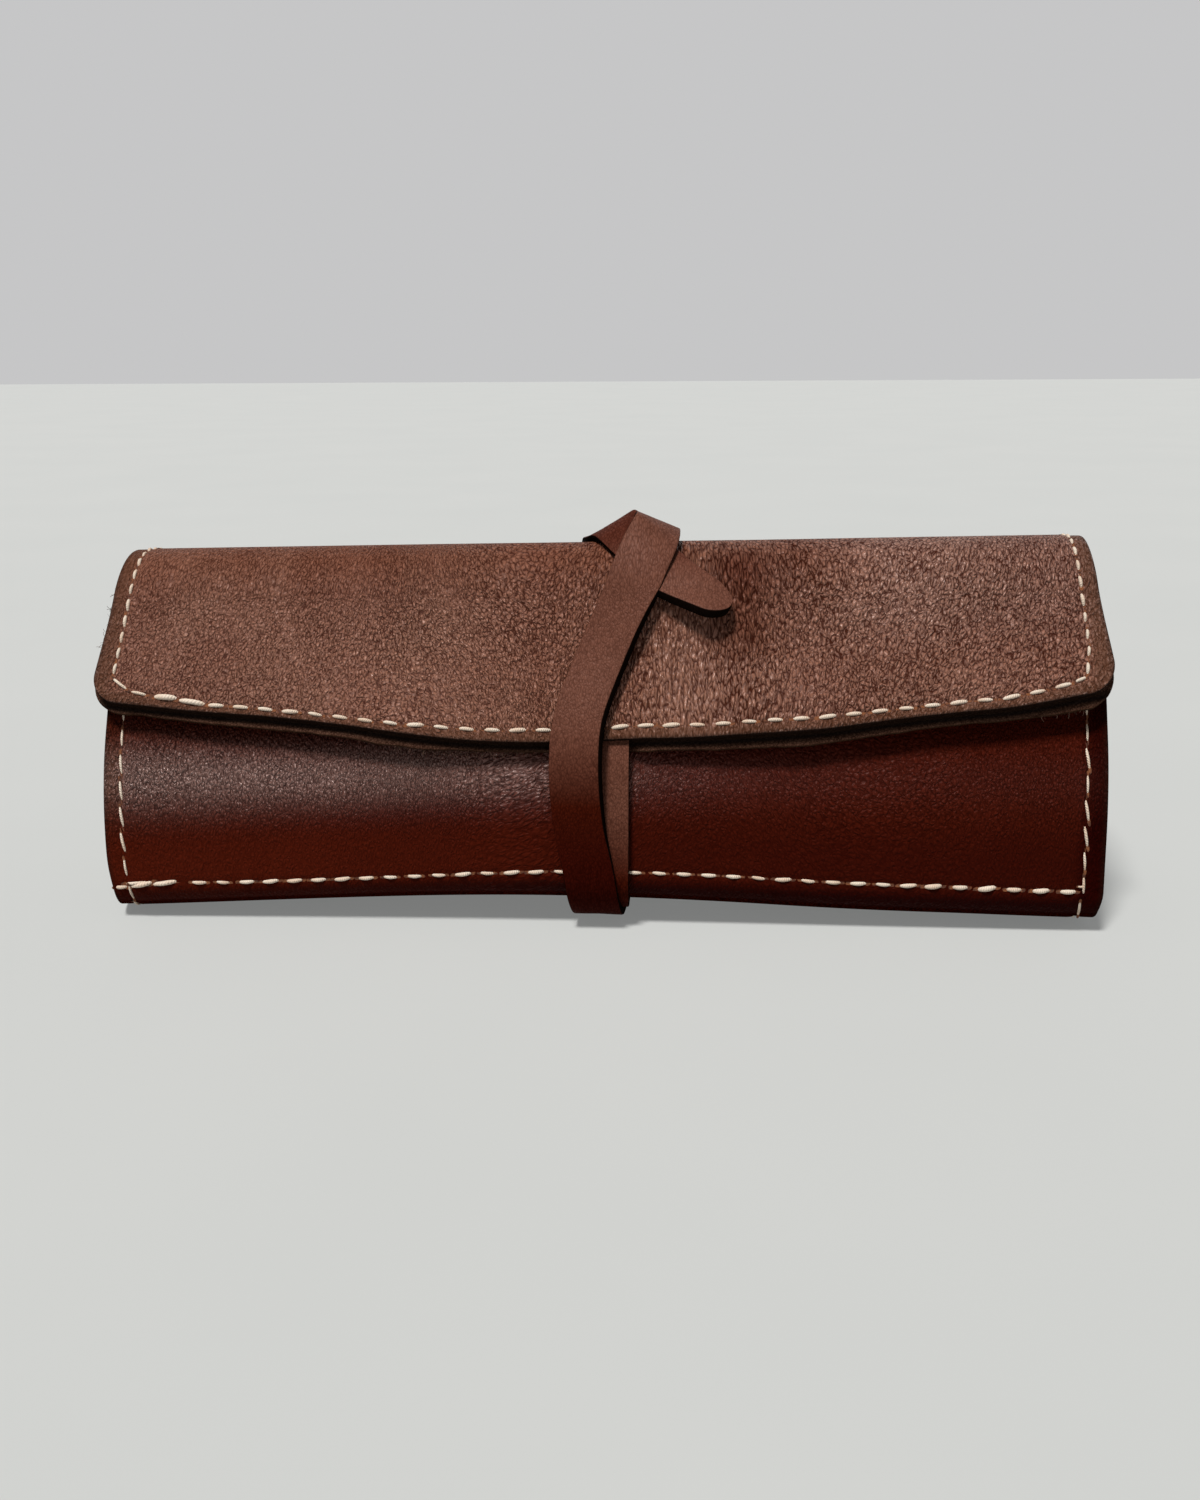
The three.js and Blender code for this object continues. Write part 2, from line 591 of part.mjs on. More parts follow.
for (const [name, group, z, profile] of snapParts) {
  add(panels[group], name, lathe(profile), BRASS).position.set(snapX, RING_BAR_SETBACK, z);
}

// Folds: where each panel and each length of strap turns on the one before it
const foldAt = (s, offset) => place(s, 0, offset).toArray();
const overBody = [around, turn(1, backFold), turn(1, backTop), turn(1, ridge)];
roll.userData.folds = {
  front_fold: foldAt(0, 0),
  back_fold: foldAt(backFold, 0),
  back_top_fold: foldAt(backTop, 0),
  ridge_fold: foldAt(ridge, flapStack),
  ring_bar_lift: [hingeX, RING_BAR_SETBACK, stripBottom],
  strap: [flapEdge, ...overBody, ...overBody.map((s) => s + around)].map((s) => {
    const p = strapRoute.getPoint(routeAt(s));
    return foldAt(p.x, p.z + STRAP_THICKNESS);
  }),
};

// The origin is under the middle of the whole roll, strap included.
const box = new THREE.Box3().setFromObject(roll);
const middleY = (box.min.y + box.max.y) / 2;
Object.values(panels).forEach((group) => (group.position.y = -middleY));
roll.userData.middleY = middleY;

export default roll;
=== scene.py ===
import math

import bpy
import numpy as np
from mathutils import Matrix, Vector


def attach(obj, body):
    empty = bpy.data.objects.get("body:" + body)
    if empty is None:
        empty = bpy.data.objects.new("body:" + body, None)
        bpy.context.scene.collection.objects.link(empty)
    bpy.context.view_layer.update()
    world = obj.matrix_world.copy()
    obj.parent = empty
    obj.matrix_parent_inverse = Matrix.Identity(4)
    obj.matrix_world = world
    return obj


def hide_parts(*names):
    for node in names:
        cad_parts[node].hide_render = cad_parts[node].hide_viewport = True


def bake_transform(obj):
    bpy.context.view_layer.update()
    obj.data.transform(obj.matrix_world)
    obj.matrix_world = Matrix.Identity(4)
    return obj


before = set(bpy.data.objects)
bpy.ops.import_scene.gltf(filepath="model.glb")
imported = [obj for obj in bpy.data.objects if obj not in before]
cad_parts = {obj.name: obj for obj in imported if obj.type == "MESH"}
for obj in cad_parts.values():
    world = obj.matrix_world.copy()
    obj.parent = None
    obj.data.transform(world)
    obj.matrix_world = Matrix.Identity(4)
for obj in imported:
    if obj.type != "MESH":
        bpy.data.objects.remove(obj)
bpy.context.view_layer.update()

# A leather jewelry roll, rolled up and tied with its own strap.
# Shapes are worked out in millimetres and turned to metres in to_metres().
# A place on the leather is (s, x): s runs along the sheet from the front fold, back under the base, up the
# back, over the top and down the flap, and is negative up the front; x runs along the roll.

MM = 0.001
HALF = 115.0
OUTER_LEATHER, LINING_LEATHER, POCKET_LEATHER = 1.8, 1.2, 1.0
GLUE_GAP = 0.3
SHEET = OUTER_LEATHER + GLUE_GAP + LINING_LEATHER
FLAP_GAP = 1.1
FLAP_STACK = FLAP_GAP + SHEET
BASE_LIFT = 4.55
FRONT_HEIGHT = 61.0
MIDDLE_Y = 0.141
STRAP_WIDTH, STRAP_THICKNESS, STRAP_GAP, STRAP_STEP = 11.4, 1.7, 0.45, 2.15
STRAP_ROOT_LENGTH = 13.0

# Outline of the leather's outer face in the YZ plane: y, z and the radius of each fold
FOLD_CORNERS = [
    (-30.5, BASE_LIFT, 7.0),
    (30.5, BASE_LIFT, 13.0),
    (27.5, 84.0 - FLAP_STACK, 20.0),
    (-4.5, 84.0 - FLAP_STACK, 14.0),
    (-27.0, BASE_LIFT + 29.0, 60.0),
]


def outline_table():
    """Length along the outline, place, direction angle, and where each fold's arc starts and ends."""
    points = [np.array(c[:2]) for c in FOLD_CORNERS]
    arcs = []
    for i, here in enumerate(points):
        into = here - points[i - 1]
        out = points[(i + 1) % len(points)] - here
        into, out = into / np.linalg.norm(into), out / np.linalg.norm(out)
        heading = math.atan2(into[1], into[0])
        turn = (math.atan2(out[1], out[0]) - heading) % (2 * math.pi)
        radius = FOLD_CORNERS[i][2]
        bisector = (out - into) / np.linalg.norm(out - into)
        centre = here + bisector * radius / math.cos(turn / 2)
        arcs.append((centre, radius, heading - math.pi / 2, turn))
    along, places, angles, spans, last = [], [], [], [], None
    pieces = [(0, 0.5, 1.0)] + [(i, 0.0, 1.0) for i in range(1, len(arcs))] + [(0, 0.0, 0.5)]
    s = 0.0
    for index, first, final in pieces:
        centre, radius, start, turn = arcs[index]
        steps = np.linspace(first, final, 400)
        around_arc = start + steps * turn
        arc = centre + radius * np.stack([np.cos(around_arc), np.sin(around_arc)], 1)
        if last is not None:
            s += np.linalg.norm(arc[0] - last)
        along.append(s + radius * turn * (steps - first))
        places.append(arc)
        angles.append(around_arc + math.pi / 2)
        spans.append((s, along[-1][-1]))
        s, last = along[-1][-1], arc[-1]
    return np.concatenate(along), np.concatenate(places), np.unwrap(np.concatenate(angles)), spans, s


ALONG, OUTLINE, HEADING, FOLD_SPANS, AROUND = outline_table()
BACK_FOLD, BACK_TOP, RIDGE = (sum(FOLD_SPANS[i]) / 2 for i in (1, 2, 3))
FLAP_EDGE = AROUND - 34.0
MID_BASE, MID_BACK, MID_TOP = BACK_FOLD / 2, (BACK_FOLD + BACK_TOP) / 2, (BACK_TOP + RIDGE) / 2

# How the real leather has settled, against the even shape above
END_LIFT, RIGHT_LIFT, ARCH_LIFT, ARCH_MIDDLE, ARCH_SPREAD = 0.2, 1.2, 5.6, -12.0, 64.0
TALLER, TAPER = 1.026, 0.022
RIDGE_PULL_IN, EDGE_FLARE = 2.5, 2.6
FRONT_SHIFT, CORNER_PULL_IN = 0.55, 1.9

# The flap's round corners, the middle of the sewn-in end of the strap, and the seams
CORNER_RADIUS, STRAP_X = 6.5, 2.4
CORNER_START = HALF - CORNER_RADIUS
STITCH_INSET, ROW_WOBBLE = 4.6, 0.15
GROOVE_WIDTH, GROOVE_DEPTH, PRESS_DEPTH = 0.85, 0.26, 0.16
# The margin of a place that is well in from every sewn edge
WELL_IN = 20.0


def smooth(t):
    t = np.clip(t, 0.0, 1.0)
    return t * t * (3 - 2 * t)


def hump(distance, width):
    return np.exp(-((distance / width) ** 2))


def value_noise(seed, size=64):
    lattice = np.random.default_rng(seed).uniform(-1, 1, (size, size))

    def at(u, v):
        i, j = np.floor(u).astype(int), np.floor(v).astype(int)
        a, b = smooth(u - i), smooth(v - j)
        i0, i1, j0, j1 = i % size, (i + 1) % size, j % size, (j + 1) % size
        low = lattice[i0, j0] * (1 - a) + lattice[i1, j0] * a
        high = lattice[i0, j1] * (1 - a) + lattice[i1, j1] * a
        return low * (1 - b) + high * b

    return at


WAVE, RIPPLE, CREASE, WOBBLE = (value_noise(seed) for seed in (11, 12, 13, 14))


def drawn_through(*stops):
    """A smooth line through stops of place and value, level beyond the first and last."""
    at, value = np.array(stops, float).T
    slope = np.gradient(value, at)

    def line(x):
        x = np.clip(x, at[0], at[-1])
        i = np.clip(np.searchsorted(at, x, side="right") - 1, 0, len(at) - 2)
        gap = at[i + 1] - at[i]
        t = (x - at[i]) / gap
        level = value[i] * (1 + 2 * t) * (1 - t) ** 2 + value[i + 1] * t * t * (3 - 2 * t)
        return level + gap * (slope[i] * t * (1 - t) ** 2 - slope[i + 1] * t * t * (1 - t))

    return line


# Along x: the height of the flap's edge up the front, how far in its stitches run, how far the lining shows
# below it, and the height of the pocket's seam
EDGE_RISE = drawn_through(
    (-115, 44.4), (-105, 43.4), (-89, 41.7), (-73, 40.5), (-57, 38.75), (-43, 36.85), (-28, 35.5),
    (-14, 35.15), (8, 35.9), (23, 36.1), (37, 36.7), (51, 37.6), (65, 39.4), (79, 40.95), (94, 42.45),
    (105, 44.4), (115, 46.2))
EDGE_ROW = drawn_through(
    (-110, 3.2), (-100, 2.6), (-85, 1.8), (-50, 1.9), (-35, 2.3), (-10, 2.6), (50, 2.75), (75, 2.25),
    (95, 2.5), (110, 3.2))
LINING_SHOWS = drawn_through(
    (-115, 1.7), (-90, 2.1), (-73, 2.4), (-57, 2.4), (-43, 2.3), (-29, 2.0), (-14, 1.6), (15, 2.2), (37, 2.3),
    (58, 2.5), (80, 2.15), (94, 2.1), (105, 2.6), (115, 2.4))
SEAM_RISE = drawn_through(
    (-115, 4.4), (-105, 5.3), (-90, 4.9), (-45, 4.8), (-10, 5.8), (10, 6.1), (60, 6.1), (115, 5.85))
# Along s: how far in the stitches run beside the left and right edges
LEFT_ROW = drawn_through(
    (-61, 4.05), (0, 4.3), (60, 4.4), (MID_TOP, 4.2), (RIDGE - 5, 3.8), (RIDGE + 5, 4.1), (RIDGE + 12, 4.2),
    (RIDGE + 23, 4.65), (RIDGE + 28, 4.8))
RIGHT_ROW = drawn_through(
    (-61, 4.65), (0, 4.6), (60, 4.5), (MID_TOP, 4.1), (RIDGE - 5, 3.55), (RIDGE + 5, 4.0), (RIDGE + 15, 4.4),
    (RIDGE + 23, 5.2), (RIDGE + 27, 6.25))


def over_top(s):
    """0 up to the back's top fold and 1 from the ridge on."""
    return np.clip((s - BACK_TOP) / (RIDGE - BACK_TOP), 0, 1)


def flap_line(x):
    """The flap's edge before its corners are rounded."""
    return AROUND - EDGE_RISE(x)


def stand_off(s, x):
    """The flap's edge stands off the front, least where the strap holds it."""
    free = 0.6 + (2.6 + 0.7 * x / HALF) * (1 - hump(x + 3, 30))
    return free * smooth((s - (flap_line(x) - 24)) / 24)


def to_metres(s, x, offset):
    """The place (s, x), offset outwards, on the settled roll."""
    s, x, offset = np.broadcast_arrays(*(np.asarray(a, float) for a in (s, x, offset)))
    lap = np.mod(s, AROUND)
    heading, y, z = (np.interp(lap, ALONG, column) for column in (HEADING, *OUTLINE.T))
    y, z = y + np.sin(heading) * offset, z - np.cos(heading) * offset
    arch = np.exp(-(((x - ARCH_MIDDLE) / ARCH_SPREAD) ** 2) / 2)
    at_end = END_LIFT + RIGHT_LIFT * smooth((x - 40) / 50)
    at_fold = at_end + (ARCH_LIFT - at_end) * arch
    at_middle = BASE_LIFT - (BASE_LIFT - at_end) * smooth((np.abs(x) - 76) / 26)
    low = at_middle + (at_fold - at_middle) * smooth((np.abs(y) - 8) / 16)
    z = z + (low - BASE_LIFT) * (1 - smooth((z - 8) / 37))
    z = z * TALLER * (1 + TAPER * x / HALF)
    down = np.clip((s - RIDGE) / (FLAP_EDGE - RIDGE), -0.6, 1)
    pull = (RIDGE_PULL_IN * (1 - down) - EDGE_FLARE * down) * over_top(s)
    pull = np.where(s > AROUND, 0, pull)
    x = x * (1 - pull / HALF) + FRONT_SHIFT * smooth(-s / 6)
    x = x + CORNER_PULL_IN * hump(np.minimum(np.abs(s), 99), 7) * smooth((-x - 80) / 35)
    return np.stack([x, y + MIDDLE_Y, z], -1) * MM


# The lie of the leather's outer face: long soft waves, creases by the strap, grooves under the stitches


def seam_s(x):
    return -SEAM_RISE(x)


def edge_row_s(x):
    return flap_line(x) - EDGE_ROW(x) + ROW_WOBBLE * WOBBLE(x / 13, 0 * x + 8)


def side_row_x(s, side):
    return HALF - np.where(side < 0, LEFT_ROW(s), RIGHT_ROW(s)) + ROW_WOBBLE * WOBBLE(s / 17, 0 * s + 3.5)


def sheet_margin(s, x):
    """How far in from the sewn edges, up to WELL_IN: 0 at the edge and STITCH_INSET under the stitches."""
    near = STITCH_INSET * (HALF - np.abs(x)) / (HALF - side_row_x(s, x))
    edge = np.where(s > RIDGE, STITCH_INSET * (flap_line(x) - s) / EDGE_ROW(x), WELL_IN)
    return np.clip(np.minimum(np.minimum(near, edge), s + FRONT_HEIGHT), 0, WELL_IN)


def no_margin(s, x):
    return WELL_IN + 0 * s


def relief(s, x):
    on_flap = smooth((s - RIDGE + 6) / 14)
    on_front = smooth((-s - 2) / 10)
    shown = np.maximum(on_flap, on_front)
    lie = 0.32 * WAVE(x / 40 + 9, s / 30 + 4) * (0.35 + 0.65 * shown)
    lie = lie + 0.16 * RIPPLE(x / 15, s / 13) * shown
    right = hump(x - 22, 20) * smooth((s - RIDGE - 8) / 10)
    left = hump(x + 24, 16) * smooth((s - RIDGE - 10) / 10)
    lie = lie + 0.11 * right * CREASE(x / 1.9 + 0.25 * RIPPLE(x / 6, s / 6), s / 7.5)
    lie = lie + 0.09 * left * CREASE((x + 0.9 * s) / 2.3, (s - 0.7 * x) / 8 + 20)
    under = smooth((-s - 26) / 8) * smooth((50 + s) / 6) * (1 - smooth((s + 2) / 2))
    under = under * hump(x + 96, 24)
    lie = lie + 0.15 * under * CREASE(x / 7 + 40, s / 1.6 + 0.5 * RIPPLE(x / 9, s / 9))
    margin = sheet_margin(s, x)
    lie = lie * smooth(margin / 7)
    dents = hump(np.abs(x) - side_row_x(s, x), GROOVE_WIDTH)
    for row_s, end in ((seam_s, HALF - 1), (edge_row_s, HALF - 5)):
        dents = np.maximum(dents, hump(s - row_s(x), GROOVE_WIDTH) * (np.abs(x) < end))
    pressed = 1 - smooth((margin - STITCH_INSET + 0.8) / 1.6)
    return lie - GROOVE_DEPTH * dents - PRESS_DEPTH * pressed


def even_face(s, x):
    """Offset of the face without relief. Over the top it climbs from the back's level to the flap's."""
    return FLAP_STACK * over_top(s) + np.where(s > MID_TOP, stand_off(s, x), 0)


def outer_face(s, x):
    """Offset of the outer leather's face."""
    return even_face(s, x) + relief(s, x)


def lining_face(s, x):
    """Offset of the lining's outer face, parted from the leather at the flap's edge and over the strap."""
    near_edge = smooth((s - flap_line(x) + 9) / 9)
    parted = near_edge * (0.35 + 0.75 * smooth((x + 30) / 120) + 0.2 * WOBBLE(x / 9, 0 * x))
    over_root = smooth((8.5 - np.abs(x - STRAP_X)) / 2) * smooth((s - FLAP_EDGE + STRAP_ROOT_LENGTH + 4) / 5)
    plain = even_face(s, x) + 0.6 * relief(s, x) * smooth((HALF - np.abs(x)) / 9)
    return plain - OUTER_LEATHER - 0.08 - parted - over_root


# Meshes


def signed_volume(points, faces):
    a, b, c, d = (points[column] for column in np.array([face for face in faces if len(face) == 4]).T)
    return float((a * np.cross(b, c)).sum() + (a * np.cross(c, d)).sum())


def new_object(name, points, faces, smooth_faces=None, uv=None, marks=None, closed=True):
    """A mesh object; the faces of a closed one are turned outwards."""
    if closed and signed_volume(points, faces) < 0:
        faces = [face[::-1] for face in faces]
    mesh = bpy.data.meshes.new(name)
    mesh.from_pydata(points.tolist(), [], faces)
    mesh.update()
    flags = np.ones(len(faces), bool) if smooth_faces is None else np.asarray(smooth_faces, bool)
    mesh.polygons.foreach_set("use_smooth", flags)
    if not flags.all():
        flat = [face for face, rounded in zip(faces, flags) if not rounded]
        sharp = {tuple(sorted(pair)) for face in flat for pair in zip(face, [*face[1:], face[0]])}
        ends = np.zeros(2 * len(mesh.edges), np.int32)
        mesh.edges.foreach_get("vertices", ends)
        creased = [tuple(sorted(pair)) in sharp for pair in ends.reshape(-1, 2).tolist()]
        mesh.attributes.new("sharp_edge", "BOOLEAN", "EDGE").data.foreach_set("value", creased)
    if uv is not None:
        layer = mesh.uv_layers.new(name="lay")
        corner = np.zeros(len(mesh.loops), np.int32)
        mesh.loops.foreach_get("vertex_index", corner)
        layer.data.foreach_set("uv", np.asarray(uv, np.float32)[corner].ravel())
    for mark, values in (marks or {}).items():
        attribute = mesh.attributes.new(mark, "FLOAT", "POINT")
        attribute.data.foreach_set("value", np.asarray(values, np.float32))
    ob = bpy.data.objects.new(name, mesh)
    bpy.context.scene.collection.objects.link(ob)
    return ob


# Each look gives three marks: how light the leather is, partly how light and dry it has worn and partly
# painted light (below 0 it is darker than new, painted shade), how much it shines, and how deep its grain is


def sheet_look(s, x):
    """Lighter on the flap, partly wear and partly painted light; dark and red low on the front, painted
    shade, with a band of shine high on its left that is also lightened as a painted highlight.
    """
    up, left = smooth((-s - 11) / 15), 0.5 - 0.5 * np.tanh((x + 10) / 45)
    band = hump(s + 28.5, 6)
    # Front: lightened in the band of shine on the left, a painted highlight; darkened low down, most on the
    # right, near the bottom fold and a little high on the right, painted shade; darker in a strip at the
    # right end
    front = 0.04 * up + 0.3 * band * left - (1 - up) * 0.6 * (1 - left) - 0.6 * (1 - smooth((-s - 1) / 5))
    front = front - 0.12 * up * (1 - left) - 0.75 * smooth((x - 107) / 6)
    # Lighter over the top and the flap than on the back, partly wear and partly painted light on faces turned
    # up
    over = 0.3 + 0.5 * smooth((s - BACK_TOP) / 20) + 0.2 * smooth((s - RIDGE - 4) / 10)
    by_tip = hump(x - 34, 9) * smooth((s - RIDGE + 4) / 8) * (1 - smooth((s - RIDGE - 16) / 14))
    right, top_right = smooth(x / 40), smooth((x - 45) / 25) * smooth((s - BACK_TOP) / 15)
    # Lighter at the top right, a painted highlight; darker and redder beside the strap's tip; a touch darker
    # to the right
    over = over + 0.25 * top_right - 0.5 * by_tip - 0.02 * right
    # Under the base it darkens towards the front fold: painted shade
    worn = np.where(s < 0, front, np.where(s < BACK_FOLD, -0.6 + 0.9 * s / BACK_FOLD, over))
    top_left = smooth((-x - 20) / 40) * (1 - smooth((s - RIDGE - 6) / 12))
    below_ridge = np.maximum(smooth((s - RIDGE + 2) / 14), top_right)
    shine = 0.2 + 0.74 * below_ridge - 0.05 * top_left + 0.26 * right
    shine = shine + 0.5 * top_right * (1 - smooth((s - RIDGE - 12) / 14))
    shine = shine + 0.16 * smooth((-x - 10) / 30) * smooth((s - RIDGE - 6) / 14)
    shine = shine * (1 - 0.8 * by_tip) * smooth((s - 10) / 50)
    shine = np.where(s < 0, 0.02 + band * (0.1 + 2.5 * left**1.3), shine)
    deep = np.where(s < 0, 0.45 + up * (0.3 + 0.35 * left), 1.12 + 0.12 * right - 0.12 * top_left)
    return {"worn": worn, "shine": shine, "deep": deep}


def plain_look(s, x):
    return {"worn": 1.0 + 0 * s, "shine": 0.2 + 0 * s, "deep": 1.0 + 0 * s}


def strap_look(s, x):
    """Lighter over the flap, painted light; dark and red down the front, painted shade, where its outer turn
    darkens sooner; painted shade also under the base and on the stretch that rises behind the crossing.
    """
    lap = np.mod(s, AROUND)
    down = smooth((lap - FLAP_EDGE - np.where(s < AROUND + 1, 8, -9)) / 38)
    behind = np.exp(-(((s - turn(2, RIDGE - 6)) / 9) ** 4))
    under_base = -0.7 + 1.4 * smooth((lap - 10) / BACK_FOLD)
    # Painted shade under the base, down the front and behind the crossing; painted light over the flap
    worn = np.where(lap < BACK_FOLD, under_base, 1 - 1.7 * down - 0.75 * behind)
    return {"worn": worn, "shine": 0.01 + 0.1 * np.clip(worn, 0, 1), "deep": 0.65 + 0 * s}


def grain_place(s, x):
    """Where the grain is taken from, in cm: on the flap it is drawn out down the sheet, most beside the
    strap, and its pebbles grow towards the right."""
    middle = RIDGE + 22
    close = 1.0 - 0.08 * np.tanh((x + 25) / 30)
    across = x - 2.4 * np.log(np.cosh((x + 25) / 30))
    drawn = 0.68 - 0.36 * hump(x - 22, 24)
    slanted = 0.35 * hump(x + 30, 18) - 0.3 * hump(x - 85, 30)
    on_flap = np.maximum(s, MID_TOP)
    down = middle + (on_flap - middle) * drawn * close + (s - on_flap) * 0.72
    return np.stack([across - slanted * (on_flap - middle), down], -1) / 10


def plain_place(s, x):
    return np.stack([x, s], -1) / 10


def straight_down(u, v, s, x, offset, depth):
    return s, x, offset - depth


# How far in from both faces the middle of a rounded edge is, against its bevel
BEVEL_MIDDLE = 0.29


def leather_shell(name, us, vs, lay, thickness, bevel, split_rows=(), margin=sheet_margin, look=sheet_look,
                  grain=plain_place, sink=straight_down, place=to_metres, napped=1.0):
    """A closed slab of leather with rounded cut edges.
    lay(u, v, inset) gives s, x and the outer face's offset; thickness(u, v) is in mm; sink goes down into the
    leather; place turns s, x and offset to metres; napped is how far the under face shows the flesh side.
    split_rows names the rows, first 0 or last -1, where the piece meets the next one."""
    wide, tall = len(us), len(vs)
    grid_u, grid_v = np.meshgrid(us, vs)
    thick = thickness(grid_u, grid_v)
    border = [(i, 0) for i in range(wide - 1)] + [(wide - 1, j) for j in range(tall - 1)]
    border += [(i, tall - 1) for i in range(wide - 1, 0, -1)] + [(0, j) for j in range(tall - 1, 0, -1)]
    edge_i, edge_j = np.array(border).T
    rim_u, rim_v, rim_thick = us[edge_i], vs[edge_j], thick[edge_j, edge_i]
    corner = BEVEL_MIDDLE * bevel
    points, places, edge, flesh = [], [], [], []

    def layer(u, v, inset, depth, edge_mark, flesh_mark):
        s, x, offset = lay(u, v, inset)
        points.append(place(*sink(u, v, s, x, offset, depth)).reshape(-1, 3))
        places.append(np.stack(np.broadcast_arrays(s, x), -1).reshape(-1, 2))
        edge.append(np.full(np.size(u), edge_mark))
        flesh.append(np.full(np.size(u), flesh_mark))

    layer(grid_u, grid_v, bevel, 0, 0.0, 0.0)
    layer(rim_u, rim_v, corner, corner, 0.6, 0.0)
    layer(rim_u, rim_v, 0, bevel, 1.0, 0.0)
    layer(rim_u, rim_v, 0, rim_thick - bevel, 1.0, napped)
    layer(rim_u, rim_v, corner, rim_thick - corner, 0.6 + 0.1 * napped, napped)
    layer(grid_u, grid_v, bevel, thick, 0.0, napped)

    count, ring = wide * tall, len(border)
    top = np.arange(count).reshape(tall, wide)
    bottom = top + count + 4 * ring
    quads = np.stack([top[:-1, :-1], top[:-1, 1:], top[1:, 1:], top[1:, :-1]], -1).reshape(-1, 4)
    faces = quads.tolist() + (quads[:, ::-1] + count + 4 * ring).tolist()
    rings = [count + k * ring + np.arange(ring) for k in range(4)]
    loops = [top[edge_j, edge_i], *rings, bottom[edge_j, edge_i]]
    for upper, lower in zip(loops, loops[1:]):
        faces += np.stack([upper, lower, np.roll(lower, -1), np.roll(upper, -1)], -1).tolist()
    marks = {"edge": np.concatenate(edge), "flesh": np.concatenate(flesh)}
    edge_rings = marks["edge"][count:count + 4 * ring].reshape(4, ring)
    split = np.zeros(ring, bool)
    for row in split_rows:
        at_row = edge_j == (0 if row == 0 else tall - 1)
        split |= at_row & np.roll(at_row, -1)
        edge_rings[:, at_row & (edge_i > 0) & (edge_i < wide - 1)] = 0
    smooth_faces = np.concatenate([np.ones(2 * len(quads), bool), *[~split] * (len(loops) - 1)])
    s, x = np.concatenate(places).T
    marks.update(look(s, x), margin=margin(s, x))
    return new_object(name, np.concatenate(points), faces, smooth_faces, grain(s, x), marks)


def spaced(stops, gaps):
    """Values from stop to stop, about gap apart between each two."""
    parts = [np.linspace(a, b, max(2, int(round((b - a) / gap)) + 1))[:-1]
             for a, b, gap in zip(stops, stops[1:], gaps)]
    return np.concatenate(parts + [[stops[-1]]])


def round_end(end, radius, count):
    """Values that close up towards a round end."""
    return end - radius * (1 - np.sin(np.linspace(0, math.pi / 2, count)))


INNER_COLUMNS = spaced([-CORNER_START, -46, 46, CORNER_START], [0.95, 0.62, 0.95])
END_COLUMNS = round_end(HALF, CORNER_RADIUS, 21)[1:]
COLUMNS = np.concatenate([-END_COLUMNS[::-1], INNER_COLUMNS, END_COLUMNS])


def inset_x(x, inset):
    inner, beyond = np.minimum(np.abs(x), CORNER_START), np.maximum(0, np.abs(x) - CORNER_START)
    return np.sign(x) * (inner + beyond * (CORNER_RADIUS - inset) / CORNER_RADIUS)


def band_lay(face):
    """The lay of a panel whose ends are cut straight."""
    def lay(u, v, inset):
        x = inset_x(u, inset)
        s = np.maximum(v, -FRONT_HEIGHT + inset)
        return s, x, face(s, x)
    return lay


def no_overhang(x):
    return 0.0


def lining_overhang(x):
    """The lining is cut by hand and shows below the leather's edge."""
    return LINING_SHOWS(x) + 0.18 * WOBBLE(x / 6, 0 * x + 1) + 0.14 * WOBBLE(x / 2.1, 0 * x + 5)


def lining_margin(s, x):
    """Small where the lining comes out from under the leather at the flap's edge, WELL_IN elsewhere; where it
    is small the lining's border colour paints the leather edge's shadow on it.
    """
    beyond = s - flap_line(x)
    return np.where((s > RIDGE) & (beyond > -1), np.clip(3.2 * beyond, 0, WELL_IN), WELL_IN)


def flap_lay(face, overhang=no_overhang):
    """The lay of the flap: rows run from the middle of the top to the bowed edge with round corners."""
    def lay(u, v, inset):
        x = inset_x(u, inset)
        sine = np.clip((np.abs(x) - CORNER_START) / (CORNER_RADIUS - inset), 0, 1)
        end = flap_line(x) + overhang(x) - inset - (CORNER_RADIUS - inset) * (1 - np.sqrt(1 - sine**2))
        s = MID_TOP + v * (end - MID_TOP)
        return s, x, face(s, x)
    return lay


FRONT_ROWS = spaced([-FRONT_HEIGHT, -46, -11, -3, 7, MID_BASE], [1.6, 0.85, 0.55, 0.8, 1.6])
BACK_ROWS = spaced([MID_BASE, 44, 68, MID_BACK], [1.7, 1.2, 1.7])
TOP_ROWS = spaced([MID_BACK, 108, MID_TOP], [1.7, 1.2])
FLAP_LENGTH = FLAP_EDGE - MID_TOP
FLAP_ROWS = spaced([0, FLAP_LENGTH - 9, FLAP_LENGTH], [0.8, 0.5]) / FLAP_LENGTH


def even(thickness):
    return lambda u, v: np.full(np.shape(u), thickness)


OUTER_BEVEL, THIN_BEVEL, STRAP_BEVEL = 0.45, 0.3, 0.28
ROW_STEP, SLAB_STEP = 1.1, 1.2
leather, lining = {}, {}
# Each panel's rows, its lay and where it meets the next one
PANELS = {
    "front": (FRONT_ROWS, band_lay, (-1,)),
    "back": (BACK_ROWS, band_lay, (0, -1)),
    "top": (TOP_ROWS, band_lay, (0, -1)),
    "flap": (FLAP_ROWS, flap_lay, (0,)),
}
for panel, (rows, lay_of, split_rows) in PANELS.items():
    leather[panel] = leather_shell(
        f"outer_leather_{panel}", COLUMNS, rows, lay_of(outer_face), even(OUTER_LEATHER), OUTER_BEVEL,
        split_rows, grain=grain_place)
    every_other = np.unique(np.r_[0:len(rows):2, len(rows) - 12:len(rows)])
    lining[panel] = leather_shell(
        f"lining_leather_{panel}", COLUMNS[::2], rows[every_other],
        flap_lay(lining_face, lining_overhang) if panel == "flap" else band_lay(lining_face),
        even(LINING_LEATHER), THIN_BEVEL, split_rows, margin=lining_margin, look=plain_look)


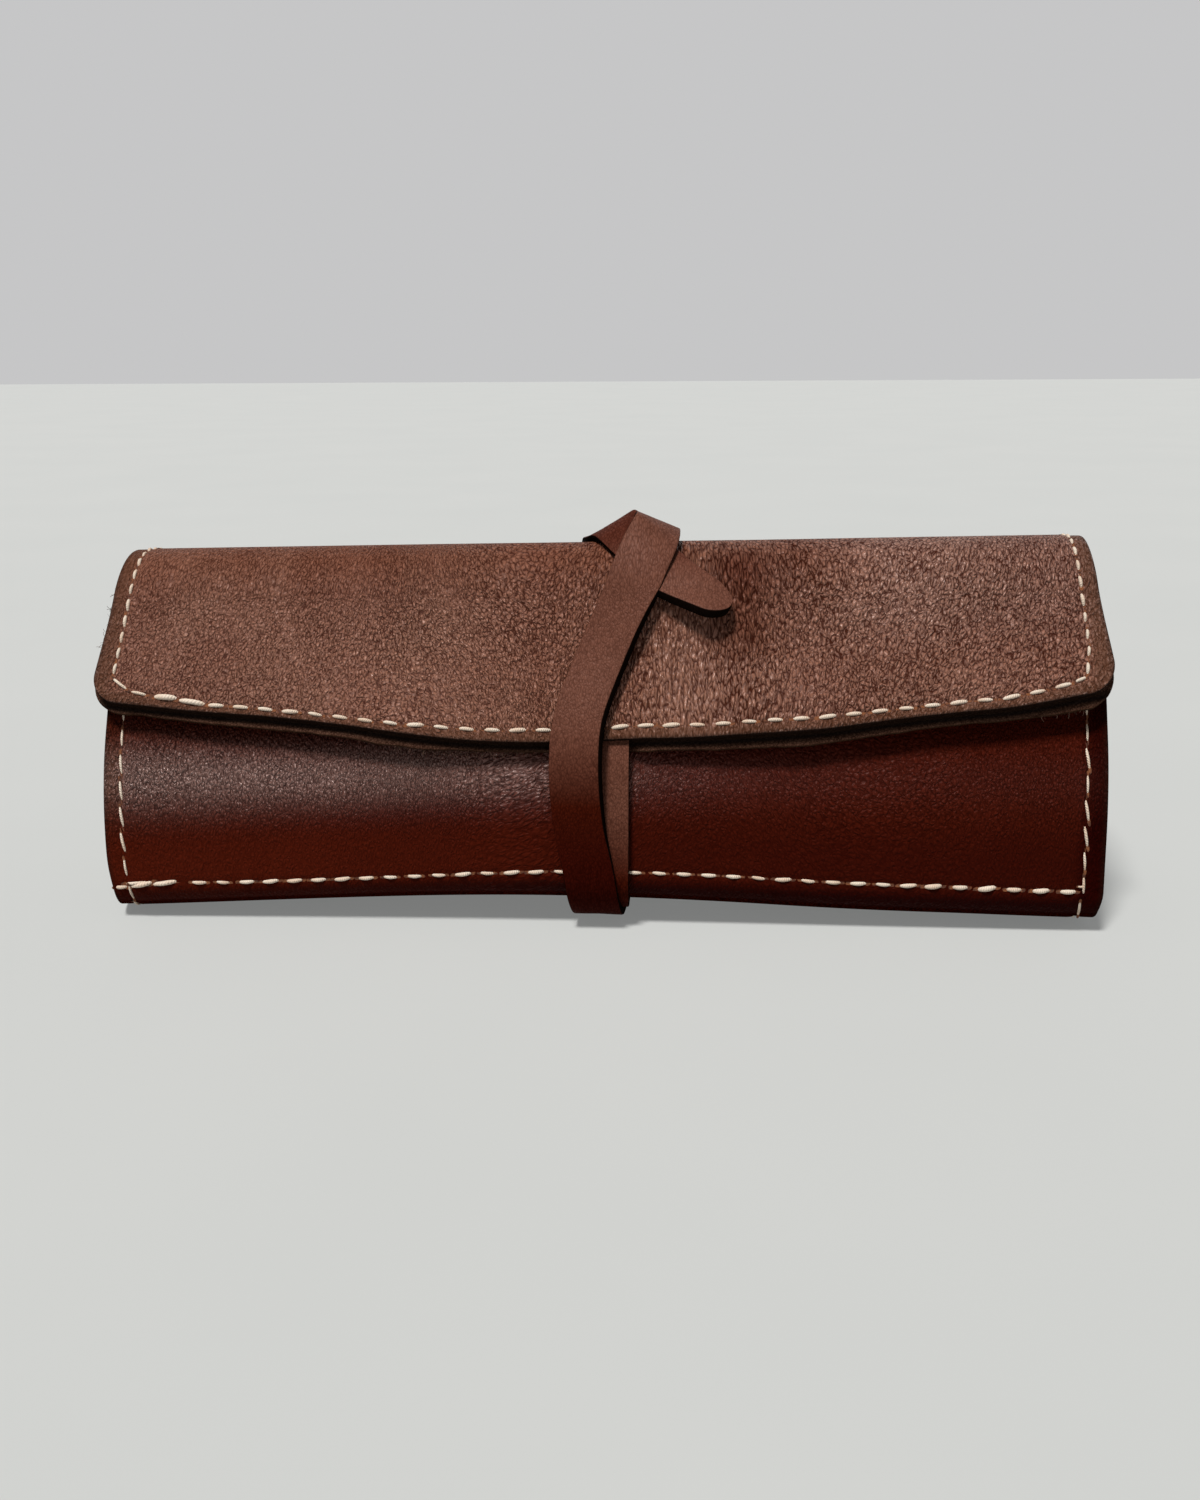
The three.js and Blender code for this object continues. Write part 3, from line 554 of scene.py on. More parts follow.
POCKET_INSET, POCKET_SWELL, POCKET_GAP = 4.5, 8.0, 0.15
POCKET_HALF = HALF - POCKET_INSET
POCKET_COLUMNS = np.linspace(-POCKET_HALF, POCKET_HALF, 150)
# Foot and mouth of each pocket along s
POCKET_ENDS = {"front": (-3.0, -47.0), "back": (BACK_FOLD + 6, BACK_FOLD + 48)}


def pocket_lay(foot, mouth):
    """The lay of a pocket that stands open at its mouth."""
    def lay(u, v, inset):
        x = u * (POCKET_HALF - inset) / POCKET_HALF
        s = np.clip(v, min(foot, mouth) + inset, max(foot, mouth) - inset)
        opened = np.clip((s - foot) / (mouth - foot), 0, 1)
        middle = np.cos((math.pi / 2) * (x / POCKET_HALF) ** 4)
        slack = 1 + 0.10 * RIPPLE(x / 26 + 7, 0 * x + 2)
        return s, x, -SHEET - POCKET_GAP - POCKET_SWELL * np.sqrt(opened) * middle * slack
    return lay


pockets = {
    panel: leather_shell(
        f"pocket_leather_{panel}", POCKET_COLUMNS, spaced(sorted(ends), [ROW_STEP]), pocket_lay(*ends),
        even(POCKET_LEATHER), THIN_BEVEL, margin=no_margin, look=plain_look)
    for panel, ends in POCKET_ENDS.items()
}

# Strap: one unbroken band twice round the roll, cut at the middles of its lengths between its folds


def turn(count, s):
    return count * AROUND + s


OVER_SEAM = 0.75
SECOND_LAYER = OVER_SEAM + STRAP_STEP - 0.25
OUTER_GAP, OVER_FLAP = STRAP_GAP + STRAP_STEP, FLAP_STACK + STRAP_GAP
# Each stop: turn round the roll, s, x, offset of the strap's under face, degrees rolled about its length
STRAP_STOPS = [
    (0, FLAP_EDGE - STRAP_ROOT_LENGTH, STRAP_X, FLAP_GAP, 0),
    (0, FLAP_EDGE - 6, STRAP_X, FLAP_GAP, 0),
    (0, FLAP_EDGE, STRAP_X, FLAP_GAP, 0),
    (0, AROUND - 16, STRAP_X, OVER_SEAM, 0),
    (0, AROUND - 7, STRAP_X, OVER_SEAM, 0),
    (1, 6, STRAP_X, STRAP_GAP, 0),
    (1, MID_BASE, STRAP_X, STRAP_GAP, 0),
    (1, BACK_FOLD - 6, 2.8, STRAP_GAP, 0),
    (1, BACK_FOLD + 14, 4.2, STRAP_GAP, 0),
    (1, BACK_TOP - 16, 8, STRAP_GAP, 0),
    (1, BACK_TOP, 10.8, STRAP_GAP + 0.4, -2),
    (1, MID_TOP, 12.8, FLAP_STACK / 2 + 1.6, -16),
    (1, RIDGE - 4.5, 14.2, FLAP_STACK + 3.1, -26),
    (1, RIDGE - 1, 13.9, FLAP_STACK + 4.0, -24),
    (1, RIDGE + 5, 10.2, FLAP_STACK + 3.4, -8),
    (1, RIDGE + 12, 6.3, FLAP_STACK + 2.5, 6),
    (1, RIDGE + 24, 1.15, FLAP_STACK + 1.3, 10),
    (1, FLAP_EDGE - 6, -3.3, FLAP_STACK + 1.3, 9),
    (1, FLAP_EDGE + 4, -4.1, FLAP_STACK + 0.8, 7),
    (1, AROUND - 16, -2.9, SECOND_LAYER + 0.2, 4),
    (1, AROUND - 7, -0.9, SECOND_LAYER, 0),
    (2, 6, 1.4, OUTER_GAP - 0.3, 0),
    (2, MID_BASE, 1.4, OUTER_GAP, 0),
    (2, BACK_FOLD - 6, 0.6, OUTER_GAP, 0),
    (2, BACK_FOLD + 14, -0.5, OUTER_GAP, 0),
    (2, BACK_TOP - 16, -1.0, OUTER_GAP, 0),
    (2, BACK_TOP, -0.2, OUTER_GAP + 0.2, 4),
    (2, MID_TOP, 1.4, FLAP_STACK / 2 + STRAP_GAP + 0.9, 16),
    (2, RIDGE - 7, 3.8, OVER_FLAP + 1.4, 25),
    (2, RIDGE - 1.5, 8.7, OVER_FLAP + 0.9, 10),
    (2, RIDGE + 5, 17.3, OVER_FLAP + 0.7, -16),
    (2, RIDGE + 12.3, 31, OVER_FLAP + 2.4, -33),
]
STRAP_ROUTE = np.array([(turn(lap, s), *rest) for lap, s, *rest in STRAP_STOPS])


def through(points):
    """A smooth curve through points, closer to the chords where they are far apart."""
    padded = np.vstack([2 * points[0] - points[1], points, 2 * points[-1] - points[-2]])
    curve = []
    for p0, p1, p2, p3 in zip(padded, padded[1:], padded[2:], padded[3:]):
        d0, d1, d2 = (math.sqrt(np.linalg.norm((b - a)[:3])) for a, b in ((p0, p1), (p1, p2), (p2, p3)))
        leave = ((p1 - p0) / d0 - (p2 - p0) / (d0 + d1) + (p2 - p1) / d1) * d1
        reach = ((p2 - p1) / d1 - (p3 - p1) / (d1 + d2) + (p3 - p2) / d2) * d1
        t = np.linspace(0, 1, 60, endpoint=False)[:, None]
        curve.append(p1 + t * leave + t**2 * (3 * (p2 - p1) - 2 * leave - reach)
                     + t**3 * (2 * (p1 - p2) + leave + reach))
    return np.vstack(curve + [points[-1:]])


strap_line = through(STRAP_ROUTE)
strap_length = np.concatenate([[0], np.cumsum(np.linalg.norm(np.diff(strap_line[:, :2], axis=0), axis=1))])
STRAP_TOTAL = strap_length[-1]


def length_at(s):
    return float(np.interp(s, strap_line[:, 0], strap_length))


def route_at(v, column):
    return np.interp(v, strap_length, strap_line[:, column])


def strap_heading(v):
    ahead, behind = np.minimum(v + 1.5, STRAP_TOTAL), np.maximum(v - 1.5, 0)
    ds, dx = (route_at(ahead, column) - route_at(behind, column) for column in (0, 1))
    return ds / np.hypot(ds, dx), dx / np.hypot(ds, dx)


def strap_sink(u, v, s, x, offset, depth):
    """Square to the rolled strap; its edge is cut at a slant where it crosses the flap and at its tip."""
    tilt = np.radians(route_at(v, 3))
    crossing, tip = length_at(turn(1, RIDGE)), length_at(turn(2, RIDGE))
    slant = 0.4 * smooth((v - crossing) / 12) * (1 - smooth((v - crossing - 55) / 25))
    slant = slant - 0.45 * smooth((v - tip) / 8)
    ds, dx = strap_heading(v)
    aside = depth * (np.sin(tilt) + slant)
    return s - dx * aside, x + ds * aside, offset - depth * np.cos(tilt)


def strap_lay(u, v, inset):
    """v is length along the strap, u runs across it from -1 to 1."""
    v = np.minimum(v, STRAP_TOTAL - inset)
    s, x, offset, roll = (route_at(v, column) for column in range(4))
    ds, dx = strap_heading(v)
    half_width = STRAP_WIDTH / 2
    into_tip = np.maximum(0, v - STRAP_TOTAL + half_width)
    taper = 1 - 0.2 * smooth((v - STRAP_TOTAL + 36) / 30)
    reach = np.sqrt(np.maximum(half_width**2 - into_tip**2, 0.3)) * taper - inset
    tilt = np.radians(roll)
    across = u * np.maximum(reach, 0.05)
    level = across * np.cos(tilt)
    s_here, x_here = s - dx * level, x + ds * level
    lap = np.mod(s, AROUND)
    over_flap = (lap > RIDGE) & (lap < FLAP_EDGE + 14)
    lift = np.where(over_flap, stand_off(np.minimum(lap, FLAP_EDGE), x), 0)
    lift = lift * smooth((FLAP_EDGE + 14 - lap) / 14)
    grain = 0.05 * WAVE(v / 9, u * 1.2 + 3)
    return s_here, x_here, offset + STRAP_THICKNESS + lift + grain + np.sin(tilt) * across


ROOT_THICKNESS = LINING_LEATHER - 0.1


def strap_thickness(u, v):
    """The strap is pared down at its root, where it is sewn in."""
    return ROOT_THICKNESS + (STRAP_THICKNESS - ROOT_THICKNESS) * smooth((v - STRAP_ROOT_LENGTH + 5) / 6)


STRAP_BODIES = ["flap", "strap_front", "strap_base", "strap_back", "strap_top", "strap_cross",
                "strap_base_outer", "strap_back_outer", "strap_top_outer", "strap_tip"]
STRAP_FOLDS = [FLAP_EDGE] + [turn(k, s) for k in (1, 2) for s in (0, BACK_FOLD, BACK_TOP, RIDGE)]
cuts = [0.0] + [length_at((a + b) / 2) for a, b in zip(STRAP_FOLDS, STRAP_FOLDS[1:])] + [STRAP_TOTAL]
ACROSS = np.concatenate([[-1, -0.93], np.linspace(-0.8, 0.8, 9), [0.93, 1]])
strap = []
for number, (first, last) in enumerate(zip(cuts, cuts[1:])):
    stops = spaced([first, last], [ROW_STEP])
    if number == len(cuts) - 2:
        stops = np.concatenate([spaced([first, last - 7], [ROW_STEP]), round_end(last, STRAP_WIDTH / 2, 15)])
    split = tuple(row for row, cut in ((0, number > 0), (-1, number < len(cuts) - 2)) if cut)
    strap.append(leather_shell(
        f"{STRAP_BODIES[number + 1]}_leather", ACROSS, stops, strap_lay, strap_thickness, STRAP_BEVEL, split,
        margin=no_margin, look=strap_look, sink=strap_sink))

# Nodes


class Wire:
    """A node's output, which can be added, taken away and multiplied like a number."""

    def __init__(self, nodes, socket):
        self.nodes, self.socket = nodes, socket

    def __add__(self, other):
        return self.nodes.maths("ADD", self, other)

    def __mul__(self, other):
        return self.nodes.maths("MULTIPLY", self, other)

    def __sub__(self, other):
        return self.nodes.maths("SUBTRACT", self, other)

    def __rsub__(self, other):
        return self.nodes.maths("SUBTRACT", other, self)


class Nodes:
    """Adds nodes to one tree. Inputs are given by name or number, each a value, a Wire or a list of Wires."""

    def __init__(self, tree):
        self.tree = tree

    def fill(self, sockets, values):
        for key, value in values.items():
            wires = value if isinstance(value, list) else [value]
            for wire in wires:
                if isinstance(wire, Wire):
                    self.tree.links.new(wire.socket, sockets[key])
                else:
                    sockets[key].default_value = wire

    def add(self, kind, values=None, out=0, **settings):
        """A new node's output, or its outputs where out lists their names, or nothing where out is None."""
        node = self.tree.nodes.new(kind)
        for key, value in settings.items():
            setattr(node, key, value)
        self.fill(node.inputs, values or {})
        if isinstance(out, tuple):
            return [Wire(self, node.outputs[name]) for name in out]
        return None if out is None else Wire(self, node.outputs[out])

    def maths(self, operation, *values):
        return self.add("ShaderNodeMath", dict(enumerate(values)), operation=operation)

    def vector(self, operation, *values, **named):
        return self.add("ShaderNodeVectorMath", {**dict(enumerate(values)), **named}, operation=operation)

    def combine(self, *values):
        return self.add("ShaderNodeCombineXYZ", dict(enumerate(values)))

    def remap(self, value, low, high, to_low=0.0, to_high=1.0):
        values = {"Value": value, "From Min": low, "From Max": high, "To Min": to_low, "To Max": to_high}
        return self.add("ShaderNodeMapRange", values, "Result", interpolation_type="SMOOTHSTEP")

    def mixed(self, factor, a, b):
        return self.add("ShaderNodeMix", {0: factor, 6: a, 7: b}, 2, data_type="RGBA")

    def noise(self, place, scale, detail, out="Fac", roughness=0.5):
        values = {"Vector": place, "Scale": scale, "Detail": detail, "Roughness": roughness}
        return self.add("ShaderNodeTexNoise", values, out)

    def attribute(self, name):
        return self.add("ShaderNodeAttribute", out="Fac", attribute_name=name)

    def object_place(self):
        return self.add("ShaderNodeTexCoord", out="Object")

    def bump(self, height, rise_mm, strength=1.0):
        return self.add("ShaderNodeBump", {"Strength": strength, "Distance": rise_mm * MM, "Height": height})

    def named(self, name, kind="FLOAT"):
        return self.add("GeometryNodeInputNamedAttribute", {"Name": name}, data_type=kind)

    def random(self, seed, low, high):
        """For each point a number, or a vector, between low and high."""
        if isinstance(low, tuple):
            values, out, kind = {0: low, 1: high}, 0, "FLOAT_VECTOR"
        else:
            values, out, kind = {2: low, 3: high}, 1, "FLOAT"
        return self.add("FunctionNodeRandomValue", {**values, "Seed": seed}, out, data_type=kind)


FLOAT, INT, VECTOR, COLOUR, GEOMETRY, MATERIAL = (
    "NodeSocket" + kind for kind in ("Float", "Int", "Vector", "Color", "Geometry", "Material"))


def new_group(name, kind, inputs, outputs):
    """A group's Nodes, its inputs as Wires by name, and its output sockets."""
    tree = bpy.data.node_groups.new(name, kind)
    for way, sockets in (("INPUT", inputs), ("OUTPUT", outputs)):
        for socket_name, socket_kind in sockets.items():
            tree.interface.new_socket(socket_name, in_out=way, socket_type=socket_kind)
    nodes = Nodes(tree)
    given = {socket.name: Wire(nodes, socket) for socket in tree.nodes.new("NodeGroupInput").outputs}
    return nodes, given, tree.nodes.new("NodeGroupOutput").inputs


def pebble_grain_group():
    """Leather grain: rounded pebbles parted by fine creases, pores and slow changes of tone."""
    n, given, out = new_group(
        "pebble_grain", "ShaderNodeTree",
        {"Place": VECTOR, "Pebbles per cm": FLOAT, "Crease Width": FLOAT, "Drawn Out": FLOAT, "Depth": FLOAT},
        {"Height": FLOAT, "Crevice": FLOAT, "Mottle": FLOAT})
    laid, per_cm, crease = given["Place"], given["Pebbles per cm"], given["Crease Width"]
    place = bent = n.vector("MULTIPLY", laid, n.combine(1.0, given["Drawn Out"], 1.0))
    for scale, detail, reach in ((3.1, 2.0, 0.11), (9.0, 1.0, 0.05)):
        bent = n.vector("MULTIPLY_ADD", n.noise(place, scale, detail, "Color"), (reach,) * 3, bent)
    folds = n.remap(n.noise(bent, per_cm, 1.0), 0.36, 0.62)
    coarse, fine = (n.add("ShaderNodeTexVoronoi", {"Vector": bent, "Scale": scale}, "Distance",
                          feature="DISTANCE_TO_EDGE") for scale in (per_cm, per_cm * 2.1))
    pebble, crack = (n.remap(coarse, 0.0, width) for width in (crease, crease * 0.52))
    small = n.remap(fine, 0.0, 0.3)
    pores = n.noise(laid, 42.0, 2.0)
    depth = given["Depth"] * n.remap(n.noise(laid, 0.8, 2.0), 0.3, 0.7, 0.88, 1.0)
    n.fill(out, {
        "Height": (folds * 0.45 + small * 0.1 + pebble * 0.5) * depth + pores * 0.06,
        "Crevice": (1.0 - (folds * 0.3 + small * 0.08 + crack * 0.62)) * depth,
        "Mottle": n.remap(n.noise(laid, 0.33, 4.0, roughness=0.6), 0.3, 0.7)})
    return n.tree


def cut_edge_group():
    """The raw cut edge of leather: dark, fibrous and burnished, and the napped flesh side."""
    n, given, out = new_group(
        "cut_edge", "ShaderNodeTree",
        {"Colour": COLOUR, "Edge Colour": COLOUR, "Flesh Colour": COLOUR, "Roughness": FLOAT,
         "Height": FLOAT},
        {"Colour": COLOUR, "Roughness": FLOAT, "Height": FLOAT, "Cover": FLOAT})
    edge, flesh, place = n.attribute("edge"), n.attribute("flesh"), n.object_place()
    # The second noise makes the burnished edge patchy
    fibres, worn = n.noise(place, 2600.0, 3.0), n.noise(place, 190.0, 3.0)
    nap = n.remap(fibres, 0.25, 0.75, 0.6, 1.25)
    mask = n.remap((worn - 0.5) * 0.5 + edge, 0.25, 0.75)
    napped, burnt = (n.vector("SCALE", given[kind], Scale=nap) for kind in ("Flesh Colour", "Edge Colour"))
    cover = n.maths("MAXIMUM", mask, flesh)
    matt = n.maths("MAXIMUM", flesh * 0.9, mask * 0.75)
    n.fill(out, {
        "Colour": n.mixed(mask, n.mixed(flesh, given["Colour"], napped), burnt),
        "Roughness": n.maths("MAXIMUM", matt, given["Roughness"]),
        "Height": n.add("ShaderNodeMix", {0: cover, 2: given["Height"], 3: fibres}, data_type="FLOAT"),
        "Cover": cover})
    return n.tree


PEBBLE_GRAIN, CUT_EDGE = pebble_grain_group(), cut_edge_group()


def new_material(name):
    """A material, the Nodes of its tree and the inputs of its shader."""
    material = bpy.data.materials.new(name)
    material.use_nodes = True
    return material, Nodes(material.node_tree), material.node_tree.nodes["Principled BSDF"].inputs


# What a crease keeps of the colour around it, the tint of the shine, and the shine of leather without marks
CREASE_SHADE, SHINE_TINT, PLAIN_SHINE = (0.17, 0.1, 0.075), (1.0, 0.86, 0.82, 1), 0.2


def leather_material(name, light, deep, edge_colour, flesh_colour, pebbles, drawn_out, crease, roughness,
                     bump_mm, border=None, fresh_and_shaded=None, painted_shade_colour=None):
    """border is the colour and strength of the pressed margin, which on the lining is a painted shadow of the
    leather's edge. With the last two colours, the dark red of leather that is not worn, partly painted shade,
    and a darker painted shade for marks below 0, the leather follows its marks."""
    material, n, shader = new_material(name)
    grain = {"Place": n.add("ShaderNodeUVMap", uv_map="lay"), "Pebbles per cm": pebbles,
             "Drawn Out": drawn_out, "Crease Width": crease, "Depth": 1.0}
    shine, wear_and_shading_level = PLAIN_SHINE, 1.0
    if fresh_and_shaded:
        worn, shine, grain["Depth"] = (n.attribute(mark) for mark in ("worn", "shine", "deep"))
    height, crevice, mottle = n.add(
        "ShaderNodeGroup", grain, ("Height", "Crevice", "Mottle"), node_tree=PEBBLE_GRAIN)
    colour = n.mixed(mottle, deep, light)
    if fresh_and_shaded:
        # Towards the worn colour, partly wear and partly painted light, as the mark rises; towards the
        # painted shade colour below 0
        colour = n.mixed(worn * -1.0, n.mixed(worn, fresh_and_shaded, colour), painted_shade_colour)
        wear_and_shading_level = n.remap(worn, -0.1, 0.7)
    colour = n.mixed(crevice, colour, n.vector("MULTIPLY", colour, CREASE_SHADE))
    if border:
        margin = n.attribute("margin")
        # The pressed margin's colour; on the lining it paints the shadow of the leather's edge
        pressed, rim = 1.0 - n.remap(margin, 2.6, 5.4), 1.0 - n.remap(margin, 0.3, 1.7)
        colour = n.mixed(pressed * border[1] * wear_and_shading_level, colour, border[0])
        colour = n.mixed(rim * 0.45, colour, edge_colour)
        shine = (1.0 - pressed * 0.5) * shine
    colour, dull, height, cover = n.add(
        "ShaderNodeGroup",
        {"Colour": colour, "Edge Colour": edge_colour, "Flesh Colour": flesh_colour,
         "Roughness": crevice * 0.16 + roughness - mottle * 0.08, "Height": height},
        ("Colour", "Roughness", "Height", "Cover"), node_tree=CUT_EDGE)
    bare = (1.0 - cover * 0.9) * (1.0 - crevice * 0.85)
    n.fill(shader, {"Base Color": colour, "Roughness": dull, "Normal": n.bump(height, bump_mm),
                    "Specular IOR Level": bare * shine, "Specular Tint": SHINE_TINT})
    return material


EDGE_BROWN = (0.016, 0.0075, 0.005, 1)
FLESH_BROWN = (0.11, 0.045, 0.024, 1)
# The first two colours are the flap's, lighter partly from wear and partly painted light; the last two are
# the front's dark red, partly painted shade, and painted shade
outer_leather = leather_material(
    "outer_leather", (0.362, 0.153, 0.091, 1), (0.30, 0.108, 0.058, 1), EDGE_BROWN, FLESH_BROWN,
    pebbles=14.2, drawn_out=0.92, crease=0.44, roughness=0.46, bump_mm=0.52,
    border=((0.105, 0.043, 0.022, 1), 0.62),
    fresh_and_shaded=(0.088, 0.0104, 0.0036, 1), painted_shade_colour=(0.026, 0.0018, 0.0008, 1))
# The near black border colour is a painted shadow of the outer leather's edge on the strip of lining below it
lining_leather = leather_material(
    "lining_leather", (0.105, 0.046, 0.026, 1), (0.08, 0.034, 0.019, 1), (0.042, 0.020, 0.011, 1),
    FLESH_BROWN, pebbles=17.0, drawn_out=0.9, crease=0.4, roughness=0.66, bump_mm=0.12,
    border=((0.006, 0.003, 0.002, 1), 0.95))
# The first two colours are the strap's top, the last two its dark red and a painted shade lower down; between
# them the strap is painted lighter on top and darker below
strap_leather = leather_material(
    "strap_leather", (0.206, 0.079, 0.050, 1), (0.168, 0.063, 0.039, 1), (0.006, 0.003, 0.002, 1),
    FLESH_BROWN, pebbles=18.0, drawn_out=0.6, crease=0.45, roughness=0.5, bump_mm=0.17,
    fresh_and_shaded=(0.074, 0.0098, 0.0034, 1), painted_shade_colour=(0.028, 0.0016, 0.0008, 1))
ring_leather = leather_material(
    "ring_leather", (0.14, 0.045, 0.022, 1), (0.10, 0.03, 0.014, 1), EDGE_BROWN, FLESH_BROWN,
    pebbles=14.0, drawn_out=1.0, crease=0.4, roughness=0.5, bump_mm=0.12)


def thread_material():
    material, n, shader = new_material("thread")
    ply = n.attribute("thread_along") * 5.0 + n.attribute("thread_round")
    twist = n.maths("ABSOLUTE", n.maths("SINE", ply * (2 * math.pi)))
    dirt = n.remap(n.noise(n.object_place(), 260.0, 3.0), 0.35, 0.75)
    colour = n.mixed(dirt, (0.97, 0.83, 0.68, 1), (0.84, 0.62, 0.46, 1))
    # Darker between the plies of the twist: painted shade in the grooves
    colour = n.mixed((1.0 - twist) * 0.32, colour, (0.52, 0.33, 0.21, 1))
    n.fill(shader, {"Base Color": colour, "Roughness": 0.6, "Normal": n.bump(twist, 0.12, 0.8)})
    return material


def speckled_material(name, colour, other, roughness, scale, metallic=0.0):
    material, n, shader = new_material(name)
    speck = n.noise(n.object_place(), scale, 4.0)
    n.fill(shader, {"Base Color": n.mixed(n.remap(speck, 0.35, 0.65), colour, other), "Metallic": metallic,
                    "Roughness": n.remap(speck, 0.3, 0.7, roughness, roughness + 0.15),
                    "Normal": n.bump(speck, 0.05, 0.3)})
    return material


thread = thread_material()
# Needle holes are flat discs: their dark brown is partly painted shade of the hole and partly the rust brown
# the holes have
needle_hole = speckled_material("needle_hole", (0.07, 0.019, 0.008, 1), (0.25, 0.085, 0.03, 1), 0.8, 1100.0)
fibre = speckled_material("leather_fibre", (0.13, 0.07, 0.045, 1), (0.07, 0.035, 0.022, 1), 0.85, 700.0)
brass = speckled_material("snap_brass", (0.62, 0.45, 0.19, 1), (0.50, 0.34, 0.13, 1), 0.26, 420.0,
                          metallic=1.0)


def wear(material, *pieces):
    for ob in pieces:
        ob.data.materials.clear()
        ob.data.materials.append(material)


wear(outer_leather, *leather.values())
wear(lining_leather, *lining.values(), *pockets.values())
wear(strap_leather, *strap)

# Stitches: Geometry Nodes lay a thread with its two needle holes at every step of a seam's line


def geometry_group(name, kinds):
    return new_group(name, "GeometryNodeTree", {"Geometry": GEOMETRY, **kinds}, {"Geometry": GEOMETRY})


def laid_along(n, given, out, step, piece, euler, size):
    """Lays the piece at every step of the lines, X along the line and Z off the leather, turned by euler."""
    tangent, away = n.add("GeometryNodeInputTangent"), n.named("away", "FLOAT_VECTOR")
    align = "FunctionNodeAlignRotationToVector"
    along = n.add(align, {"Vector": tangent}, axis="X")
    facing = n.add(align, {"Rotation": along, "Vector": away}, axis="Z", pivot_axis="X")
    bent = n.add("FunctionNodeEulerToRotation", {0: euler})
    turned = n.add("FunctionNodeRotateRotation", {0: facing, 1: bent}, rotation_space="LOCAL")
    line = n.add("GeometryNodeMeshToCurve", {"Mesh": given["Geometry"]})
    beads = n.add("GeometryNodeResampleCurve", {"Curve": line, "Length": step}, mode="LENGTH")
    laid = n.add("GeometryNodeInstanceOnPoints",
                 {"Points": beads, "Instance": piece, "Rotation": turned, "Scale": size})
    n.fill(out, {"Geometry": n.add("GeometryNodeRealizeInstances", {"Geometry": laid})})
    return n.tree


def bow(n, resolution, start, middle, end):
    return n.add("GeometryNodeCurveQuadraticBezier",
                 {"Resolution": resolution, "Start": start, "Middle": middle, "End": end})


def ring_of(n, resolution, width):
    return n.add("GeometryNodeCurvePrimitiveCircle", {"Resolution": resolution, "Radius": width * 0.5},
                 mode="RADIUS")


def tube_of(n, curve, ring, scale=1.0):
    return n.add("GeometryNodeCurveToMesh",
                 {"Curve": curve, "Profile Curve": ring, "Scale": scale, "Fill Caps": True})


def coloured(n, geometry, material):
    return n.add("GeometryNodeSetMaterial", {"Geometry": geometry, "Material": material})


def marked(n, curve, name):
    """The curve, with how far along it each point is kept under a name."""
    part = n.add("GeometryNodeSplineParameter")
    return n.add("GeometryNodeStoreNamedAttribute", {"Geometry": curve, "Name": name, "Value": part},
                 data_type="FLOAT", domain="POINT")


HOLE_LIFT, HOLE_SHAPE = 0.00004, (1.25, 0.8, 1)


def stitch_tree():
    n, given, out = geometry_group("stitch_row", {
        "Pitch": FLOAT, "Stitch Length": FLOAT, "Thread Width": FLOAT, "Stitch Height": FLOAT,
        "Hole Width": FLOAT, "Seed": INT, "Thread": MATERIAL, "Hole": MATERIAL})
    half, sunk = given["Stitch Length"] * 0.5, given["Thread Width"] * -0.55
    back, peak = half * -1.0, given["Stitch Height"] * 2.0
    ends = [n.combine(x, 0.0, z) for x, z in ((back, sunk), (0.0, peak), (half, sunk))]
    arc = marked(n, bow(n, 7, *ends), "thread_along")
    belly = n.maths("SINE", n.add("GeometryNodeSplineParameter") * math.pi)
    ring = marked(n, ring_of(n, 7, given["Thread Width"]), "thread_round")
    tube = tube_of(n, arc, ring, belly * 0.4 + 0.62)
    pieces = [coloured(n, n.add("GeometryNodeSetShadeSmooth", {"Geometry": tube}), given["Thread"])]
    disc = n.add("GeometryNodeMeshCircle", {"Vertices": 8, "Radius": given["Hole Width"] * 0.5},
                 fill_type="NGON")
    for end in (back, half):
        spot = n.combine(end, 0.0, HOLE_LIFT)
        hole = n.add("GeometryNodeTransform", {"Geometry": disc, "Translation": spot, "Scale": HOLE_SHAPE})
        pieces.append(coloured(n, hole, given["Hole"]))
    stitch = n.add("GeometryNodeJoinGeometry", {0: pieces})
    shake = n.random(given["Seed"], 0.88, 1.12)
    lean = n.named("lean") + n.random(given["Seed"], -0.10, 0.10)
    wide = n.named("heavy") * shake
    return laid_along(n, given, out, given["Pitch"] * n.named("spread"), stitch, n.combine(0.0, 0.0, lean),
                      n.combine(shake * n.named("long"), wide, wide))


def fray_tree():
    """Loose fibres that stand out of a raw edge."""
    n, given, out = geometry_group("frayed_edge", {
        "Spacing": FLOAT, "Fibre Length": FLOAT, "Fibre Width": FLOAT, "Seed": INT, "Fibre": MATERIAL})
    reach = given["Fibre Length"]
    knee, tip = n.combine(reach * -0.2, 0.0, reach * 0.6), n.combine(reach * 0.35, 0.0, reach)
    hair = tube_of(n, bow(n, 4, (0, 0, -0.0004), knee, tip), ring_of(n, 3, given["Fibre Width"]))
    lean = n.random(given["Seed"], (-0.9, -0.9, -3.1), (0.9, 0.9, 3.1))
    return laid_along(n, given, out, given["Spacing"], coloured(n, hair, given["Fibre"]), lean,
                      n.random(given["Seed"], 0.25, 1.4))


STITCH_ROW, FRAYED_EDGE = stitch_tree(), fray_tree()


